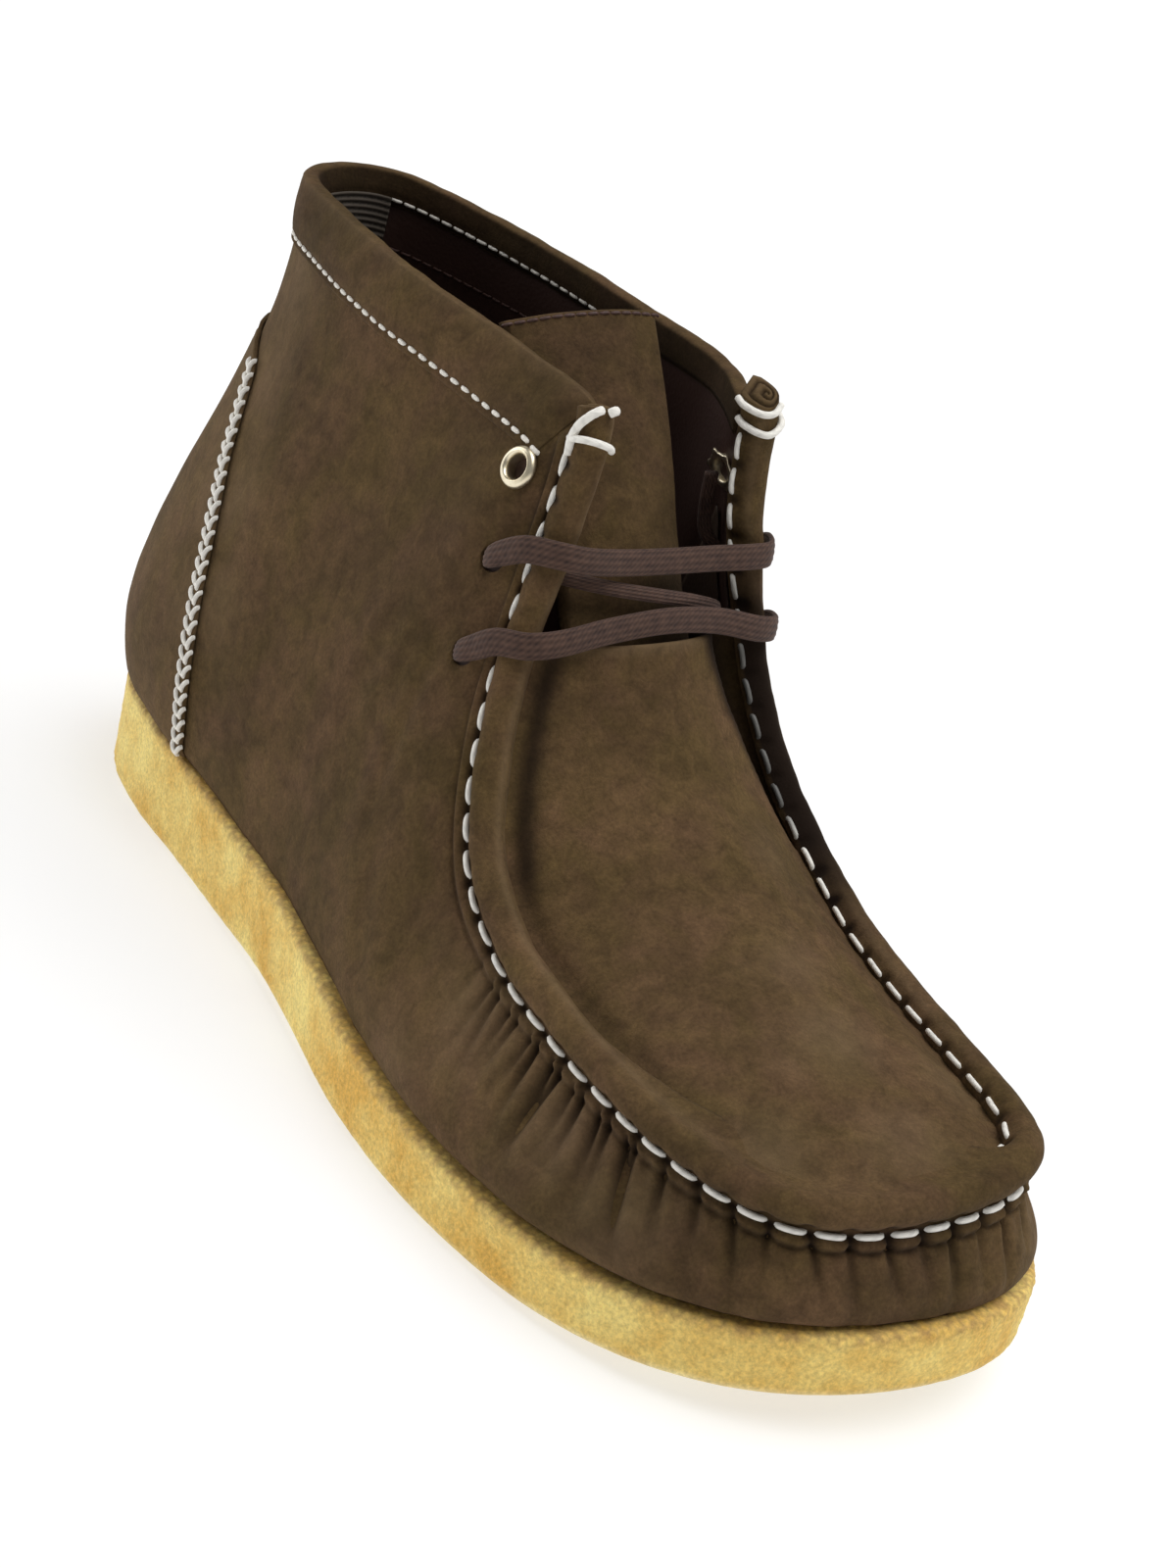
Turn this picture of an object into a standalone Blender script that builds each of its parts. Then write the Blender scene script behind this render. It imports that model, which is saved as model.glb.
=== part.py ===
"""Moccasin ankle boot for the right foot, as an assembly of separate pieces.

Lengths are millimetres. The toe points to -Y, the foot's inner side is +X and up is +Z.
Every curved piece comes from one pair of closed lines, the sole's outline and the upper's top line, which
share their rows: row 0 is the toe, the last row is the heel, and each row has a lateral and a medial point.
"""

import math

import bmesh
import bpy
import numpy as np
from mathutils import Matrix, Vector

MM = 0.001

# Driving dimensions. The tables below are drawn for these values and stretch with them.
SOLE_LENGTH = 295.0
BALL_WIDTH = 114.0
HEEL_HEIGHT = 26.2
COLLAR_HEIGHT = 153.3
DRAWN = {"length": 295.0, "width": 114.0, "heel": 26.2, "collar": 153.3}
SIZE = {
    "length": SOLE_LENGTH / DRAWN["length"],
    "width": BALL_WIDTH / DRAWN["width"],
    "heel": HEEL_HEIGHT / DRAWN["heel"],
    "collar": COLLAR_HEIGHT / DRAWN["collar"],
}
SIZE_XYZ = np.array([SIZE["width"], SIZE["length"], SIZE["collar"]])
# The middle of the boot's box, which becomes the origin
MIDDLE = np.array([-4.15, 4.98, 0.0]) * SIZE_XYZ

# One row for each section of the last, from toe to heel.
# sole_y, sole_lat, sole_med: the outsole's outline; depth: its thickness; ledge: how far the upper stands in
# top_y, top_lat, top_med, top_z_lat, top_z_med: the apron seam, then the throat's edge, then the collar
# low_lat, low_med: how far the wall swells near the sole; high_lat, high_med: the same near the top
# crown: the apron's rise above the seam
COLUMNS = (
    "sole_y", "sole_lat", "sole_med", "depth", "ledge",
    "top_y", "top_lat", "top_med", "top_z_lat", "top_z_med",
    "low_lat", "low_med", "high_lat", "high_med", "crown",
)
SECTIONS = (
    (-144, 0.0, 0.0, 13.6, 3.6, -134, 0.0, 0.0, 41.0, 41.0, 3.0, 3.0, 1.0, 1.0, 0.0),
    (-140, -21.0, 17.5, 13.6, 3.6, -130, -21.0, 17.0, 41.0, 41.0, 3.0, 3.0, 1.0, 1.0, 3.0),
    (-129, -39.0, 31.5, 13.6, 3.6, -119, -35.0, 25.0, 41.0, 41.5, 4.0, 4.0, 1.0, 1.0, 6.0),
    (-112, -51.5, 41.0, 13.7, 3.6, -101, -42.0, 30.0, 42.0, 42.5, 5.0, 5.0, 1.0, 1.0, 9.0),
    (-91, -58.5, 48.0, 13.9, 3.6, -81, -43.8, 33.0, 44.0, 45.0, 5.5, 5.5, 1.5, 1.5, 12.0),
    (-68, -61.0, 52.0, 14.3, 3.5, -62, -43.3, 35.0, 46.5, 49.0, 5.5, 5.5, 2.0, 2.0, 15.0),
    (-44, -61.0, 53.0, 15.4, 3.2, -44, -42.0, 36.0, 51.0, 56.0, 5.0, 5.0, 2.5, 2.5, 17.0),
    (-19, -57.5, 50.5, 17.2, 2.8, -26, -38.5, 35.5, 63.0, 68.0, 4.0, 4.0, 4.0, 4.0, 15.5),
    (6, -51.5, 45.0, 19.0, 2.4, -12, -30.5, 32.0, 87.0, 89.0, 3.5, 3.5, 6.0, 6.0, 11.5),
    (31, -45.5, 42.5, 20.6, 2.0, -5, -21.5, 26.5, 117.0, 118.0, 3.5, 3.5, 7.0, 7.0, 8.0),
    (56, -41.0, 43.0, 22.2, 1.6, -2, -17.5, 24.0, 143.5, 143.5, 4.0, 4.0, 7.0, 7.0, 8.0),
    (81, -37.5, 45.5, 23.6, 1.2, 21, -18.0, 35.5, 146.2, 145.0, 5.0, 5.0, 4.5, 4.0, 8.0),
    (105, -34.5, 47.0, 24.8, 0.9, 59, -21.4, 35.0, 149.4, 147.2, 6.0, 6.0, 1.5, 0.5, 8.0),
    (127, -28.0, 43.0, 25.6, 0.8, 91.5, -18.2, 30.8, 151.3, 149.5, 7.0, 7.0, -1.5, -2.0, 8.0),
    (143, -15.0, 29.0, 26.0, 0.8, 117, -11.0, 18.5, 152.2, 152.8, 7.0, 7.0, -3.5, -4.0, 8.0),
    (151, 5.0, 5.0, 26.2, 0.8, 123.5, 5.0, 5.0, 153.3, 153.3, 7.0, 7.0, -5.0, -5.0, 8.0),
)
# A station counts rows: along the lateral side to HEEL_ROW, then back on the medial side
# to ROUND, which is the toe again.
HEEL_ROW = len(SECTIONS) - 1
ROUND = 2 * HEEL_ROW
COLLAR_ROW = 10
APRON_END = 8.33
# The meshes: points to a row, how far up the wall each ring of points lies, and quads across the apron
PER_ROW = 3
UP_THE_WALL = (0.0, 0.08, 0.18, 0.3, 0.43, 0.57, 0.7, 0.81, 0.9, 0.95, 1.0)
ACROSS_APRON = 8

WALL = 2.0
GAP = 0.3


# The runs read from the table, and the driving dimension that each stretches with
STRETCH = {
    "sole_y": "length", "sole_*": "width", "depth": "heel", "ledge": "width",
    "top_y": "length", "top_*": "width", "top_z_*": "collar",
    "low_*": "width", "high_*": "width", "crown": "collar",
}


def column(name):
    """One column of the table as a closed run: down the lateral side to the heel and back up the medial."""
    lateral = name.replace("*", "lat")
    medial = name.replace("*", "med")
    down = [row[COLUMNS.index(lateral)] for row in SECTIONS]
    back = [row[COLUMNS.index(medial)] for row in SECTIONS]
    return np.array(down + back[HEEL_ROW - 1 : 0 : -1], float) * SIZE[STRETCH[name]]


def slopes(values, corners=()):
    """The slope at each row of a closed run: central, but held back at a corner so nothing overshoots."""
    before = values - np.roll(values, 1)
    after = np.roll(values, -1) - values
    slope = (before + after) / 2
    for k in corners:
        same_way = before[k] * after[k] > 0
        slope[k] = 2 * before[k] * after[k] / (before[k] + after[k]) if same_way else 0.0
    return slope


CORNERS = (COLLAR_ROW, ROUND - COLLAR_ROW)
RUNS = {}
for run in STRETCH:
    RUNS[run] = (column(run), slopes(column(run), CORNERS if run.startswith("top") else ()))


def at(name, s):
    """The value of a column at station s, by cubic pieces between the rows."""
    values, slope = RUNS[name]
    s = np.asarray(s, float) % ROUND
    k = np.floor(s).astype(int) % ROUND
    f = s - np.floor(s)
    after = (k + 1) % ROUND
    return (
        values[k] * (1 + 2 * f) * (1 - f) ** 2
        + slope[k] * f * (1 - f) ** 2
        + values[after] * f**2 * (3 - 2 * f)
        - slope[after] * f**2 * (1 - f)
    )


SMALL = 0.02


def outward(s):
    """The level direction out of the sole's side at station s."""
    ahead = np.array([at("sole_*", s + SMALL), at("sole_y", s + SMALL)])
    behind = np.array([at("sole_*", s - SMALL), at("sole_y", s - SMALL)])
    along = ahead - behind
    length = np.hypot(*along)
    return np.stack([-along[1] / length, along[0] / length, np.zeros_like(length)], axis=-1)


TOE_SPRING = 9.5
SPRING_FROM = -60.0
ARCH = (-22.0, 62.0)
ARCH_RISE = 1.5
HEEL_BEVEL_FROM = 124.0
HEEL_BEVEL = 1.5


def tread_height(y):
    """The underside: flat at the ball and the heel, arched between them and sprung at the toe."""
    y = y / SIZE["length"]
    toe = TOE_SPRING * np.clip((SPRING_FROM - y) / (SPRING_FROM - SECTIONS[0][0]), 0, None) ** 2
    arch = ARCH_RISE * np.sin(np.pi * np.clip((y - ARCH[0]) / (ARCH[1] - ARCH[0]), 0, 1)) ** 2
    heel = HEEL_BEVEL * np.clip((y - HEEL_BEVEL_FROM) / (SECTIONS[-1][0] - HEEL_BEVEL_FROM), 0, None) ** 2
    return toe + arch + heel


def sole_side(s, inset, share, lift=0.0):
    """A point of the sole's side: `inset` from the outline, `share` of the way up its side, plus `lift`."""
    out = outward(s)
    flat = np.stack([at("sole_*", s), at("sole_y", s), np.zeros_like(at("depth", s))], axis=-1)
    bottom = tread_height(flat[..., 1])
    point = flat - out * np.asarray(inset)[..., None]
    point[..., 2] = bottom + share * at("depth", s) + lift
    return point


# What brings the peak of t(1-t)^3, and of t^2(1-t), to 1
LOW_PEAK = 4**4 / 3**3
HIGH_PEAK = 3**3 / 2**2


def wall(s, t):
    """The upper's outer face: station s round the boot, t from 0 at the sole to 1 at the top line."""
    s, t = np.broadcast_arrays(np.asarray(s, float), np.asarray(t, float))
    foot = sole_side(s, at("ledge", s), 1.0, GAP)
    top = np.stack([at("top_*", s), at("top_y", s), at("top_z_*", s)], axis=-1)
    low = at("low_*", s) * LOW_PEAK * t * (1 - t) ** 3
    high = at("high_*", s) * HIGH_PEAK * t**2 * (1 - t)
    return foot + (top - foot) * t[..., None] + outward(s) * (low + high)[..., None]


def wall_normal(s, t):
    """The direction out of the wall, by finite differences."""
    s, t = np.broadcast_arrays(np.asarray(s, float), np.asarray(t, float))
    t = np.clip(t, SMALL, 1 - SMALL)
    up = wall(s, t + SMALL) - wall(s, t - SMALL)
    along = wall(s + SMALL, t) - wall(s - SMALL, t)
    out = np.cross(up, along)
    return out / np.linalg.norm(out, axis=-1, keepdims=True)


def apron(s, u):
    """The apron between the lateral seam at station s, where u is 0, and the medial seam, where u is 1."""
    s, u = np.broadcast_arrays(np.asarray(s, float), np.asarray(u, float))
    left, right = wall(s, 1.0), wall(ROUND - s, 1.0)
    step = 0.15
    ahead = wall(s + step, 1.0) + wall(ROUND - s - step, 1.0)
    behind = wall(s - step, 1.0) + wall(ROUND - s + step, 1.0)
    out = np.cross(right - left, ahead - behind)
    out /= np.maximum(np.linalg.norm(out, axis=-1, keepdims=True), 1e-6)
    rise = at("crown", s) * (1 - (2 * u - 1) ** 2)
    return left + (right - left) * u[..., None] + out * rise[..., None]


APRON_SLOPE_AT_TOE = 0.5
TOE_ROWS = 2.0


def inside_of_seam(s):
    """The direction in which the apron leaves the seam; past the apron's end, the way through the wall."""
    s = np.asarray(s, float)
    row = np.abs(s)
    level = -outward(s)
    level[..., 2] = APRON_SLOPE_AT_TOE
    side = np.maximum(row, TOE_ROWS)
    inward = apron(side, np.where(s < 0, 0.9, 0.1)) - wall(np.where(s < 0, -side, side), 1.0)
    inward /= np.linalg.norm(inward, axis=-1, keepdims=True)
    from_toe = np.clip((row - TOE_ROWS) / TOE_ROWS, 0, 1)[..., None]
    inward = level * (1 - from_toe) + inward * from_toe
    inward /= np.linalg.norm(inward, axis=-1, keepdims=True)
    free = np.clip(row - APRON_END - 0.1, 0, 1)[..., None]
    return inward * (1 - free) - wall_normal(s, 1.0) * free


def seam_frame(s):
    """The seam at station s, negative on the medial side: its place, and the ways across and up there."""
    s = np.asarray(s, float)
    last = COLLAR_ROW - 1.5 * SMALL
    held = np.clip(s, -last, last)
    along = wall(held + SMALL, 1.0) - wall(held - SMALL, 1.0)
    along /= np.linalg.norm(along, axis=-1, keepdims=True)
    out = wall_normal(held, 1.0)
    past = np.cross(along, out)
    up = past - inside_of_seam(held) + 0.3 * out
    up -= along * np.sum(up * along, axis=-1, keepdims=True)
    up /= np.linalg.norm(up, axis=-1, keepdims=True)
    return wall(s, 1.0), np.cross(along, up), up


def material(name, colour, roughness, metallic=0.0):
    made = bpy.data.materials.new(name)
    made.use_nodes = True
    shader = made.node_tree.nodes["Principled BSDF"]
    shader.inputs["Base Color"].default_value = (*colour, 1.0)
    shader.inputs["Roughness"].default_value = roughness
    shader.inputs["Metallic"].default_value = metallic
    return made


def placed(points):
    """Points in metres from the origin."""
    return (np.asarray(points, float) - MIDDLE) * MM


def piece(name, points, faces, look):
    """An object from points about the last, with its faces turned outwards."""
    mesh = bpy.data.meshes.new(name)
    mesh.from_pydata(placed(points).tolist(), [], faces)
    mesh.validate()
    made = bpy.data.objects.new(name, mesh)
    bpy.context.scene.collection.objects.link(made)
    shape = bmesh.new()
    shape.from_mesh(mesh)
    bmesh.ops.remove_doubles(shape, verts=shape.verts, dist=1e-3 * MM)
    bmesh.ops.recalc_face_normals(shape, faces=shape.faces)
    shape.to_mesh(mesh)
    shape.free()
    mesh.materials.append(look)
    return made


def grid_faces(rows, columns, first=0, closed=False):
    """Quads between the rows of a grid whose points are numbered row by row."""
    faces = []
    for j in range(rows - 1):
        for i in range(columns if closed else columns - 1):
            k = (i + 1) % columns
            a, b = first + j * columns, first + (j + 1) * columns
            faces.append((a + i, a + k, b + k, b + i))
    return faces


def lofted(name, rings, look, closed=False):
    """A solid through equal rings of points. An open run gets a flat cap at each end."""
    rings = np.asarray(rings, float)
    count, around = rings.shape[:2]
    faces = grid_faces(count, around, closed=True)
    if closed:
        last = (count - 1) * around
        faces += [(last + i, last + (i + 1) % around, (i + 1) % around, i) for i in range(around)]
    else:
        faces += [tuple(range(around))]
        faces += [tuple(range(count * around - around, count * around))]
    return piece(name, rings.reshape(-1, 3), faces, look)


def plate(name, rings, look):
    """A solid stack of outline rings, each from the toe round to the toe, closed across below and above."""
    rings = np.asarray(rings, float)
    count, around = rings.shape[:2]
    faces = grid_faces(count, around, closed=True)
    for ring in (0, count - 1):
        first = ring * around
        for i in range(around // 2):
            here, there = first + (around - i) % around, first + around - i - 1
            strip = (first + i, first + i + 1, there, here)
            faces.append(tuple(dict.fromkeys(strip)))
    return piece(name, rings.reshape(-1, 3), faces, look)


BOTTOM_ROUND = 2.5
RIM_ROUND = 1.6
# How far in the flat of the underside, and the flat under the upper, begin
FLAT_IN = 3.0
SEAT_IN = 4.0


def build_outsole(look):
    """The crepe wedge: rounded below, with a soft rim that the upper stands in from."""
    s = np.arange(ROUND * 4) / 4
    rings = [
        sole_side(s, BOTTOM_ROUND + FLAT_IN, 0.0),
        sole_side(s, BOTTOM_ROUND, 0.0),
        sole_side(s, 0.3 * BOTTOM_ROUND, 0.0, 0.3 * BOTTOM_ROUND),
        sole_side(s, 0.0, 0.0, BOTTOM_ROUND),
        sole_side(s, 0.0, 0.6),
        sole_side(s, 0.15 * RIM_ROUND, 1.0, -RIM_ROUND),
        sole_side(s, 0.5 * at("ledge", s), 1.0),
        sole_side(s, at("ledge", s) + SEAT_IN, 1.0),
    ]
    return plate("outsole", rings, look)


INSOLE_THICKNESS = 3.0
INSOLE_CLEAR = 0.6
INSOLE_ROUND = 0.8


def build_insole(look):
    """A thin sock that lies on the sole, inside the wall."""
    s = np.arange(ROUND * PER_ROW) / PER_ROW
    inset = at("ledge", s) + WALL + INSOLE_CLEAR
    rings = [
        sole_side(s, inset, 1.0, INSOLE_CLEAR),
        sole_side(s, inset, 1.0, INSOLE_CLEAR + INSOLE_THICKNESS - INSOLE_ROUND),
        sole_side(s, inset + INSOLE_ROUND, 1.0, INSOLE_CLEAR + INSOLE_THICKNESS),
    ]
    return plate("insole", rings, look)


def build_upper(look):
    """The hollow upper: a wall round the foot, and the apron let into its front, made thick inwards."""
    around = ROUND * PER_ROW
    s = np.arange(around) / PER_ROW
    points = np.concatenate([wall(s, t) for t in UP_THE_WALL])
    faces = grid_faces(len(UP_THE_WALL), around, closed=True)
    top = around * (len(UP_THE_WALL) - 1)
    u = np.linspace(0, 1, ACROSS_APRON + 1)
    rows = round(APRON_END * PER_ROW)
    inner = [apron(np.full(ACROSS_APRON - 1, k / PER_ROW), u[1:-1]) for k in range(1, rows + 1)]
    first = len(points)
    points = np.concatenate([points] + inner)

    def number(k, across):
        if k == 0:
            return top
        if across == 0:
            return top + k
        if across == ACROSS_APRON:
            return top + around - k
        return first + (k - 1) * (ACROSS_APRON - 1) + across - 1

    for k in range(rows):
        for a in range(ACROSS_APRON):
            corners = (number(k, a), number(k, a + 1), number(k + 1, a + 1), number(k + 1, a))
            faces.append(tuple(dict.fromkeys(corners)))
    made = piece("upper", points, faces, look)
    shell = made.modifiers.new("wall", "SOLIDIFY")
    shell.thickness = WALL * MM
    shell.offset = -1
    shell.use_even_offset = True
    punch = made.modifiers.new("holes", "BOOLEAN")
    punch.operation = "DIFFERENCE"
    punch.solver = "EXACT"
    punch.object = build_hole_cutter()
    return made


# The holes for the eyelet and for the lace's two bars: station and height up the wall
HOLES = {
    "top": (9.99, 0.87),
    "middle": (9.29, 0.84),
    "low": (8.68, 0.81),
}
EYELET_HOLE = 3.4
LACE_HOLE = 2.3
HOLE_SIDES = 20
PUNCH_LENGTH = 12.0


def hole(row, medial):
    """The centre of a hole on the wall's outer face, and the direction out of it."""
    s, t = HOLES[row]
    s = ROUND - s if medial else s
    return wall(s, t), wall_normal(s, t)


def build_hole_cutter():
    """The six punches that make the holes, as one hidden object."""
    shape = bmesh.new()
    for row in HOLES:
        radius = EYELET_HOLE if row == "top" else LACE_HOLE
        for medial in (False, True):
            centre, out = hole(row, medial)
            turn = Vector(out).to_track_quat("Z", "Y").to_matrix().to_4x4()
            place = Matrix.Translation(Vector(placed(centre))) @ turn
            bmesh.ops.create_cone(
                shape, cap_ends=True, segments=HOLE_SIDES, depth=PUNCH_LENGTH * MM,
                radius1=radius * MM, radius2=radius * MM, matrix=place,
            )
    mesh = bpy.data.meshes.new("hole_cutter")
    shape.to_mesh(mesh)
    shape.free()
    cutter = bpy.data.objects.new("hole_cutter", mesh)
    bpy.context.scene.collection.objects.link(cutter)
    cutter.hide_render = True
    cutter.display_type = "WIRE"
    return cutter


EYELET_RADIUS = 4.4
EYELET_BORE = 2.5
EYELET_NECK = 3.1
EYELET_FLANGE = 0.8
EYELET_CLEAR = 1.6
EYELET_CLEAR_INSIDE = 1.45


def build_eyelet(name, medial, look):
    """A ring turned about the hole's axis: a rounded flange outside, a neck, and a flange rolled inside."""
    centre, out = hole("top", medial)
    face = EYELET_CLEAR
    back = -WALL - EYELET_CLEAR_INSIDE
    profile = (
        (EYELET_BORE, face + EYELET_FLANGE * 0.7),
        (EYELET_BORE + 0.7, face + EYELET_FLANGE * 1.1),
        (EYELET_RADIUS - 0.6, face + EYELET_FLANGE),
        (EYELET_RADIUS, face + EYELET_FLANGE * 0.35),
        (EYELET_RADIUS - 0.2, face),
        (EYELET_NECK, face),
        (EYELET_NECK, back),
        (EYELET_RADIUS - 0.8, back),
        (EYELET_RADIUS - 0.6, back - EYELET_FLANGE * 0.5),
        (EYELET_BORE + 0.6, back - EYELET_FLANGE),
        (EYELET_BORE, back - EYELET_FLANGE * 0.6),
    )
    side = np.cross(out, (0.0, 0.0, 1.0))
    side /= np.linalg.norm(side)
    top = np.cross(side, out)
    turns = np.arange(HOLE_SIDES) / HOLE_SIDES * 2 * math.pi
    rings = [
        [centre + (side * math.cos(a) + top * math.sin(a)) * r + out * h for r, h in profile]
        for a in turns
    ]
    return lofted(name, rings, look, closed=True)


ROLL_WIDTH = 7.0
ROLL_HEIGHT = 5.0
ROLL_END = 9.88
ROLL_FOOT = 0.8
ROLL_SIDES = 8
# How far the roll stands off the seam, and how much more at the toe, where the seam turns fastest
ROLL_CLEAR = 0.5
ROLL_CLEAR_AT_TOE = 0.9
ROLL_TOE_ROWS = 1.3


def build_seam_roll(look):
    """The raised moccasin seam: one strip from the collar down round the toe and up to the collar again."""
    s = np.linspace(-ROLL_END, ROLL_END, 2 * COLLAR_ROW * PER_ROW + 1)
    place, across, up = seam_frame(s)
    half = ROLL_WIDTH / 2
    section = [(half - ROLL_FOOT, 0.0)]
    for turn in np.linspace(0, math.pi, ROLL_SIDES):
        section.append((half * math.cos(turn), max(ROLL_HEIGHT * math.sin(turn), ROLL_FOOT)))
    section.append((ROLL_FOOT - half, 0.0))
    clear = ROLL_CLEAR + ROLL_CLEAR_AT_TOE * np.exp(-((s / ROLL_TOE_ROWS) ** 2))
    rings = np.stack([place + across * x + up * (clear + z)[:, None] for x, z in section], axis=1)
    return lofted("seam_roll", rings, look)


BAND_FROM = 10.34
BAND_ROWS = (0.9, 0.95, 1.0)
BAND_THICKNESS = 1.1
BAND_GAP = 0.4


def build_collar_band(look):
    """The collar's binding: one strip folded over the top edge, with a leg outside and a leg inside."""
    first = math.ceil(BAND_FROM * PER_ROW)
    between = np.arange(first, ROUND * PER_ROW - first + 1) / PER_ROW
    s = np.concatenate([[BAND_FROM], between, [ROUND - BAND_FROM]])
    outer = BAND_GAP, BAND_GAP + BAND_THICKNESS
    inner = -WALL - BAND_GAP, -WALL - BAND_GAP - BAND_THICKNESS
    rise = wall(s, 1.0) - wall(s, 0.95)
    rise /= np.linalg.norm(rise, axis=-1, keepdims=True)

    def leg(t, off, lift=0.0):
        return wall(s, t) + wall_normal(s, t) * off + rise * lift

    chain = [leg(t, outer[1]) for t in BAND_ROWS]
    chain += [leg(1.0, outer[1] - 0.4, outer[1]), leg(1.0, inner[1] + 0.4, outer[1])]
    chain += [leg(t, inner[1]) for t in BAND_ROWS[::-1]]
    chain += [leg(t, inner[0]) for t in BAND_ROWS[:-1]]
    chain += [leg(1.0, inner[0], outer[0]), leg(1.0, outer[0], outer[0])]
    chain += [leg(t, outer[0]) for t in BAND_ROWS[-2::-1]]
    return lofted("collar_band", np.stack(chain, axis=1), look)


COUNTER_ROWS = (0.03, 0.08, 0.18, 0.3, 0.43, 0.57, 0.66, 0.7, 0.72)
COUNTER_THICKNESS = 1.2
COUNTER_GAP = 0.8
COUNTER_COLUMNS = 22


def counter_edge(t):
    """The station of the counter's lateral edge: it leans back as it climbs, and turns over at the top."""
    edge = 11.2 + 1.5 * t + 2.5 * t**2
    over = np.clip((t - 0.66) / 0.06, 0, 1)
    return edge + 0.65 * over**2


def build_heel_counter(look):
    """The overlay round the back of the heel."""
    t = np.array(COUNTER_ROWS)
    edge = counter_edge(t)[:, None]
    across = np.linspace(0, 1, COUNTER_COLUMNS + 1)[None, :]
    s = edge + (ROUND - 2 * edge) * across
    t = np.broadcast_to(t[:, None], s.shape)
    out = wall_normal(s, t)
    inside = wall(s, t) + out * COUNTER_GAP
    outside = wall(s, t) + out * (COUNTER_GAP + COUNTER_THICKNESS)
    rows, columns = s.shape
    faces = grid_faces(rows, columns) + grid_faces(rows, columns, first=rows * columns)
    rim = list(range(columns))
    rim += [j * columns + columns - 1 for j in range(1, rows)]
    rim += [(rows - 1) * columns + i for i in range(columns - 2, -1, -1)]
    rim += [j * columns for j in range(rows - 2, 0, -1)]
    for i, here in enumerate(rim):
        there = rim[(i + 1) % len(rim)]
        faces.append((here, there, there + rows * columns, here + rows * columns))
    points = np.concatenate([inside.reshape(-1, 3), outside.reshape(-1, 3)])
    return piece("heel_counter", points, faces, look)


# The tongue from where it is sewn under the apron up to its free edge: its two sides, and how far it bows
TONGUE = (
    ((-17.0, -25.5, 74.5), (18.0, -26.5, 75.5), 4.0),
    ((-16.5, -10.5, 95.5), (17.5, -11.0, 96.5), 4.5),
    ((-16.0, -1.0, 113.0), (17.0, -1.5, 114.0), 5.0),
    ((-15.5, 12.0, 129.0), (16.5, 8.0, 133.0), 4.5),
    ((-13.5, 30.0, 146.0), (17.5, 24.0, 152.0), 3.0),
)
TONGUE_THICKNESS = 2.4
TONGUE_THINNED = 0.25
TONGUE_ROWS = 17
TONGUE_COLUMNS = 10


def through(values, count):
    """`count` points on a smooth curve through the given ones, evenly spaced in their numbering."""
    values = np.asarray(values, float)
    padded = np.concatenate([[2 * values[0] - values[1]], values, [2 * values[-1] - values[-2]]])
    where = np.linspace(0, len(values) - 1, count)
    k = np.minimum(where.astype(int), len(values) - 2)
    f = (where - k).reshape((-1,) + (1,) * (values.ndim - 1))
    before, here, after, beyond = (padded[k + i] for i in range(4))
    square = 2 * before - 5 * here + 4 * after - beyond
    cube = 3 * (here - after) + beyond - before
    return here + 0.5 * f * (after - before + f * (square + f * cube))


def tongue_front(u):
    """The tongue's front face: rows up it by columns across it, and the direction out of each row."""
    left = through([row[0] for row in TONGUE], TONGUE_ROWS) * SIZE_XYZ
    right = through([row[1] for row in TONGUE], TONGUE_ROWS) * SIZE_XYZ
    bow = through([row[2] for row in TONGUE], TONGUE_ROWS)
    climb = np.gradient((left + right) / 2, axis=0)
    out = np.cross(right - left, climb)
    out /= np.linalg.norm(out, axis=-1, keepdims=True)
    width = (right - left)[:, None, :] * u[None, :, None]
    rise = bow[:, None] * (1 - (2 * u[None, :] - 1) ** 2)
    return left[:, None, :] + width + out[:, None, :] * rise[..., None], out


def build_tongue(look):
    """A curved slab with rounded sides, tucked under the apron."""
    u = np.linspace(0, 1, TONGUE_COLUMNS + 1)
    front, out = tongue_front(u)
    depth = TONGUE_THICKNESS * (1 - TONGUE_THINNED * np.abs(2 * u - 1) ** 6)
    back = front - out[:, None, :] * depth[None, :, None]
    rings = np.concatenate([front, back[:, ::-1]], axis=1)
    return lofted("tongue", rings, look)


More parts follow.
